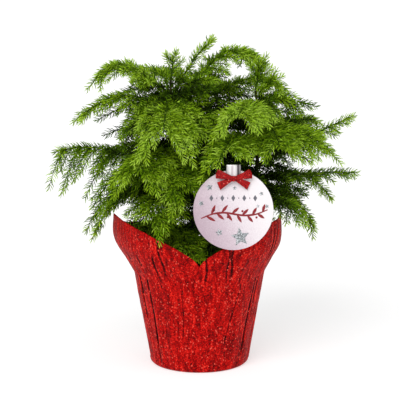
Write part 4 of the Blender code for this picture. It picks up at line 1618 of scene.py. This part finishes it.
    def grow_pair(self, branch: Branch, index: int, k: int, share: float, chance: Random,
                  extra: Random) -> None:
        """Grow the solids' twig number k, and a shorter partner on the other side of the spine.

        Args:
            branch: the branch.
            index: the branch's number, which sets the side that comes first.
            k: the twig's number.
            share: its place along the spine.
            chance: the solids' random draws, in the solids' order.
            extra: random draws for what only the looks have.
        """
        stem = self.stem(branch.stem)
        root = branch.point(stem, share)
        forward = unit(branch.point(stem, share + 0.02) - root)
        across = self.side_of(forward) * (1 if (k + index) % 2 else -1)
        if branch.upright:
            turn = 2 * np.pi * k / branch.twigs
            across = np.array([np.cos(turn), np.sin(turn), 0.0])
        angle = TWIG_ANGLE + chance.uniform(-0.14, 0.14)
        length = branch.twig * MM * (LENGTH_AT_ROOT - TAPER_TO_TIP * share)
        length = length * (1 + chance.uniform(-0.12, 0.12))
        droop = branch.droop * (1 + chance.uniform(-0.3, 0.3))
        tilt = chance.uniform(-0.1, 0.25)
        for side, sizes in ((1, (0.8, 1.06)), (-1, (0.65, 0.95))):
            if side == -1 and extra.random() > branch.lush:
                continue
            away = unit(forward * np.cos(angle) + across * side * np.sin(angle) + UP * tilt)
            size = length * extra.uniform(*sizes)
            path = self.twig_path(root, forward, away, size, droop)
            if self.blocked(path):
                continue
            self.shoots.add(path, self.twig_radii, branch.glow + extra.uniform(-0.25, 0.25), Rank.TWIG)
            self.grow_finer(path, size, droop, branch.glow, branch.lush, extra)
            tilt = extra.uniform(-0.1, 0.25)

    def grow_finer(self, path: np.ndarray, length: float, droop: float, glow: float, lush: float,
                   extra: Random) -> None:
        """Grow short finer twigs along a side twig, by the same rule one step down.

        Args:
            path: the side twig.
            length: its length.
            droop: how far it sinks.
            glow: its branch's glow.
            lush: its branch's share of finer growth.
            extra: random draws.
        """
        count = round(lush * (length / (17.0 * MM) - 1))
        for k in range(count):
            share = 0.18 + 0.62 * (k + extra.uniform(0.1, 0.9)) / count
            spot = share * (self.shoots.steps - 1)
            low = int(spot)
            root = path[low] + (path[low + 1] - path[low]) * (spot - low)
            forward = unit(path[low + 1] - path[low])
            across = self.side_of(forward) * (1 if k % 2 else -1)
            angle = TWIG_ANGLE * extra.uniform(0.8, 1.15)
            away = unit(forward * np.cos(angle) + across * np.sin(angle) + UP * extra.uniform(-0.15, 0.4))
            size = extra.uniform(*self.fine_twig) * MM * (1.1 - 0.5 * share)
            twig = self.twig_path(root, forward, away, size, 0.7 * droop)
            if not self.blocked(twig):
                self.shoots.add(twig, self.fine_radii, glow + extra.uniform(-0.3, 0.3), Rank.FINER)

    def blocked(self, path: np.ndarray) -> bool:
        """Tell whether a twig would go through the cover's wall, touch the tag or sink into the mix.

        Args:
            path: the twig's points.

        Returns:
            Whether it has to be left out.
        """
        line = path[None]
        low = path[:, 2].min() < SOIL_LEVEL + self.twig_gap * MM
        held = self.cover.passes_wall(line)[0] or self.cover.brushes_peak(path)
        return bool(held or self.tag.hides(line)[0] or low)

    def stem_shoots(self) -> None:
        """Let the stems carry needles, and short sprays at the golden angle that fill the crown's middle,
        both painted darker as shade.
        """
        for number, stem in enumerate(STEMS):
            heights = np.linspace(SOIL_LEVEL + 0.35 * (stem.height * MM - SOIL_LEVEL), stem.height * MM, 6)
            for low, high in zip(heights, heights[1:]):
                path = stem.point(np.linspace(low, high, self.shoots.steps))
                # The stems' needles are painted darker as shade.
                self.shoots.add(path, self.stem_radii, self.stem_shade_shift, Rank.STEM)
            extra = Random(self.inner_seed + number)
            for k in range(int((stem.height - self.inner_foot - 2) / self.spray_gap)):
                root = stem.point(np.asarray((self.inner_foot + self.spray_gap * k) * MM))
                turn = k * GOLDEN_ANGLE + self.spray_phase * (number + 1)
                away = np.array([np.cos(turn), np.sin(turn), extra.uniform(-0.1, 0.5)])
                size = extra.uniform(*self.inner_spray) * MM
                path = self.twig_path(root, away, unit(away), size, extra.uniform(0.1, 0.5))
                if not self.blocked(path):
                    # Sprays in the crown's middle are painted darker as shade.
                    self.shoots.add(path, self.spray_radii, self.inner_shade_shift, Rank.TWIG)
                    self.grow_finer(path, size, self.inner_droop, self.inner_shade_shift, self.inner_lush, extra)

    def build_twigs(self, finish: Material) -> None:
        """Build the twigs' green wood as thin four-sided tubes that taper to their tips.

        Args:
            finish: the green bark.
        """
        paths, thick, _, rank = self.shoots.arrays()
        share = np.linspace(0, 1, self.shoots.steps)[None]
        radii = (thick[:, :1] + (thick[:, 1:] - thick[:, :1]) * share)[..., None] * MM
        masses = tuple("mass_" + branch.name for branch in BRANCHES)
        pieces = [("foliage_twigs", rank < Rank.FINER, masses)]
        pieces.append(("foliage_fine_twigs", rank == Rank.FINER, ()))
        for name, wanted, nodes in pieces:
            skin, faces = tubes(paths[wanted], radii[wanted], 4)
            make_piece(name, skin, faces, finish, nodes)

    def needle_lines(self) -> tuple:
        """Root, middle and tip of every needle, and its tint.

        A needle leaves its shoot at the golden angle from the last one, leans forward by 60 degrees
        at the root of the shoot and 30 at its tip, and bends further forward along its own length.

        Returns:
            Lines as (N, 3, 3), widths as (N,) and tint numbers as (N,).
        """
        paths, thick, glow, rank = self.shoots.arrays()
        chance = np.random.default_rng(self.needle_seed)
        forward, side, upward = path_frame(paths)
        length = np.linalg.norm(np.diff(paths, axis=1), axis=-1).sum(axis=1) / MM
        density = self.needles_per_mm * np.array(self.rank_density)[rank]
        counts = np.maximum((length * density).astype(int), 4)
        owner = np.repeat(np.arange(len(paths)), counts)
        number = np.arange(len(owner)) - np.repeat(np.cumsum(counts) - counts, counts)
        share = np.clip((number + chance.uniform(0.1, 0.9, len(owner))) / counts[owner], 0, 0.999)
        clear = self.bare_root
        share = np.where(rank[owner] == Rank.TWIG, clear + (1 - clear) * share, share)
        spot = share * (self.shoots.steps - 1)
        low = spot.astype(int)
        part = (spot - low)[:, None]

        def between(values: np.ndarray) -> np.ndarray:
            """Values at each needle's place along its shoot."""
            return values[owner, low] * (1 - part) + values[owner, low + 1] * part

        root, ahead = between(paths), unit(between(forward))
        turn = (number * GOLDEN_ANGLE + chance.normal(0, self.turn_spread, len(owner)) + owner)[:, None]
        round_about = between(side) * np.cos(turn) + between(upward) * np.sin(turn)
        last = length[owner] * (1 - share)
        near_tip = np.exp(-last / self.tip_zone)
        root_lean, tip_lean = self.needle_lean
        lean = root_lean - (root_lean - tip_lean) * near_tip + chance.normal(0, self.lean_spread, len(owner))
        lean = np.radians(lean)[:, None]
        size = self.needle_length * (1 - self.tip_shorter * near_tip)
        size = size * chance.uniform(*self.length_spread, len(owner))
        size = (size * np.where(rank[owner] == Rank.FINER, self.fine_shorter, 1.0) * MM)[:, None]
        out = ahead * np.cos(lean) + round_about * np.sin(lean)
        wood = thick[owner, 0] + (thick[owner, 1] - thick[owner, 0]) * share
        start = root + round_about * (0.5 * wood * MM)[:, None]
        (low_bend, low_part), (high_bend, high_part) = self.needle_bends
        middle = start + unit(out + ahead * low_bend) * low_part * size
        tip = middle + unit(out + ahead * high_bend + UP * self.tip_lift) * high_part * size
        lines = np.stack([start, middle, tip], axis=1)
        zone = number // self.spray_needles
        sprays = np.random.default_rng(self.spray_seed)
        draws = sprays.normal(0, self.light.spray_spread, (len(paths), zone.max() + 1))
        tint = self.light.tints(root, last, glow[owner] + draws[owner, zone])
        keep = ~(self.cover.passes_wall(lines, self.needle_margin * MM) | self.tag.hides(lines))
        keep &= lines[..., 2].min(axis=1) > SOIL_LEVEL + self.needle_gap * MM
        width = self.needle_width * chance.uniform(*self.width_spread, len(owner)) * MM
        return lines[keep], width[keep], tint[keep]

    def build_needles(self) -> None:
        """Build each needle as a three-sided awl of two rings and a tip, joined by tint."""
        lines, width, tint = self.needle_lines()
        chance = np.random.default_rng(self.twist_seed)
        along = unit(lines[:, 2] - lines[:, 0])
        side = unit(np.cross(along, unit(chance.normal(size=along.shape))))
        turn = full_turn(3)[:, None]
        thin = self.needle_flatness * np.cross(along, side)[:, None]
        shape = side[:, None] * np.cos(turn) + thin * np.sin(turn)
        shape = shape * width[:, None, None]
        root_ring, middle_ring = self.needle_rings
        rings = [lines[:, :1] + root_ring * shape, lines[:, 1:2] + middle_ring * shape]
        points = np.concatenate([*rings, lines[:, 2:]], axis=1)
        quads = np.array([[0, 1, 4, 3], [1, 2, 5, 4], [2, 0, 3, 5]])
        tips = np.array([[3, 4, 6], [4, 5, 6], [5, 3, 6], [2, 1, 0]])
        most = PIECE_LIMIT // self.needle_triangles
        for number, tone in enumerate(Tint):
            tones = tuple(zip(self.tone_places, tone.value))
            finish = NeedleWax("needle_wax_" + tone.name.lower(), stops=tones).material()
            wanted = np.flatnonzero(tint == number)
            for part in range(0, len(wanted), most):
                chosen = wanted[part:part + most]
                offset = points.shape[1] * np.arange(len(chosen))[:, None, None]
                name = f"foliage_needles_{tone.name.lower()}_{part // most + 1}"
                faces = [(quads + offset).reshape(-1, 4), (tips + offset).reshape(-1, 3)]
                make_piece(name, points[chosen], faces, finish)


@dataclass
class Studio:
    """Pale floor, soft light and the camera at the photograph's viewing angle (metres).

    A lamp is its name, the side that it comes from, how wide it looks in degrees and its strength.
    """

    camera_place: tuple = (0.0008, -1.6, 0.49)
    camera_target: tuple = (0.0008, 0.0, 0.178)
    focal_pixels: float = 1513.0
    image_pixels: float = 400.0
    sensor_mm: float = 36.0
    floor_size: float = 14.0
    sky: float = 0.5
    white: float = 1.05
    lamps: tuple = (("key", (-0.7, -1.5, 1.35), 40.0, 1.75), ("fill", (1.3, -1.2, 1.3), 60.0, 0.6))

    def put(self, name: str, data: bpy.types.ID, place: tuple, target: tuple) -> Object:
        """Put a lamp or camera at a place, so that it looks at a point.

        Args:
            name: its name.
            data: the lamp or camera.
            place: where it stands.
            target: the point that it looks at.

        Returns:
            The new object.
        """
        thing = bpy.data.objects.new(name, data)
        thing.location = place
        thing.rotation_euler = (Vector(target) - thing.location).to_track_quat("-Z", "Y").to_euler()
        bpy.context.scene.collection.objects.link(thing)
        return thing

    def build_camera(self) -> None:
        """Set a long lens a little above the plant."""
        lens = bpy.data.cameras.new("camera")
        lens.sensor_width = self.sensor_mm
        lens.lens = self.sensor_mm * self.focal_pixels / self.image_pixels
        lens.clip_end = 100.0
        bpy.context.scene.camera = self.put("camera", lens, self.camera_place, self.camera_target)

    def build_lamps(self) -> None:
        """Set broad, even lights from both sides, as from wide softboxes."""
        for name, place, spread, power in self.lamps:
            lamp = bpy.data.lights.new(name, "SUN")
            lamp.angle = np.radians(spread)
            lamp.energy = power
            self.put(name, lamp, place, (0.0, 0.0, 0.0))

    def build_floor(self) -> None:
        """Lay a wide matt white floor."""
        half = self.floor_size / 2
        corners = [(-half, -half, 0), (half, -half, 0), (half, half, 0), (-half, half, 0)]
        mesh = bpy.data.meshes.new("floor")
        mesh.from_pydata(corners, [], [(0, 1, 2, 3)])
        mesh.materials.append(FloorPaint().material())
        floor = bpy.data.objects.new("floor", mesh)
        bpy.context.scene.collection.objects.link(floor)

    def build(self) -> None:
        """Set the whole studio, under a white sky that the camera sees brighter than it lights."""
        world = bpy.data.worlds.new("studio")
        world.use_nodes = True
        tree = world.node_tree
        back = tree.nodes["Background"]
        back.inputs["Color"].default_value = (1.0, 1.0, 1.0, 1.0)
        seen = add_node(tree, "LightPath", {}, {})
        strengths = {"To Min": self.sky, "To Max": self.white}
        level = add_node(tree, "MapRange", strengths, {"Value": seen.outputs["Is Camera Ray"]})
        tree.links.new(level.outputs["Result"], back.inputs["Strength"])
        bpy.context.scene.world = world
        bpy.context.scene.view_settings.view_transform = "Standard"
        self.build_floor()
        self.build_lamps()
        self.build_camera()


def main() -> None:
    """Build the studio, the pot, the tag and the plant in order."""
    logging.basicConfig(level=logging.INFO, format="%(name)s %(message)s")
    Studio().build()
    cover = GiftCover()
    cover.build(GlitterPaper().material())
    NurseryPot().build(MouldedPlastic().material())
    soil = SoilSurface()
    mix = MoistMix().material()
    soil.build(mix)
    soil.scatter(mix)

    tag = OrnamentTag()
    tag.build_card(CoatedCard(centre=tuple(np.array(tag.centre) * MM), radius=tag.radius * MM).material())
    tag.build_stars(SilverGlitter().material())
    tag.build_row(PrintInk("ink_grey", stops=((0.35, "55545c"), (0.7, "6c6b73"))).material())
    tag.build_sprig(PrintInk("ink_red", stops=((0.35, "780c16"), (0.7, "8f1420"))).material())
    cap_left = tag.centre[0] - tag.cap_width / 2
    tag.build_cap(SilverFoil(left=cap_left * MM, width=tag.cap_width * MM).material())
    tag.build_bow(GlitterRibbon().material())
    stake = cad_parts["tag_stake"]
    stake.data.materials.clear()
    stake.data.materials.append(ClearPlastic().material())

    plant = Plant(cover, tag)
    plant.grow()
    plant.stem_shoots()
    bark = YoungBark().material()
    plant.build_stems(bark)
    plant.build_boughs(bark)
    green = YoungBark("green_twig", size_mm=3.0, stops=((0.3, "1d3306"), (0.8, "3d5c10")))
    plant.build_twigs(green.material())
    plant.build_needles()


if __name__ == "__main__":
    main()
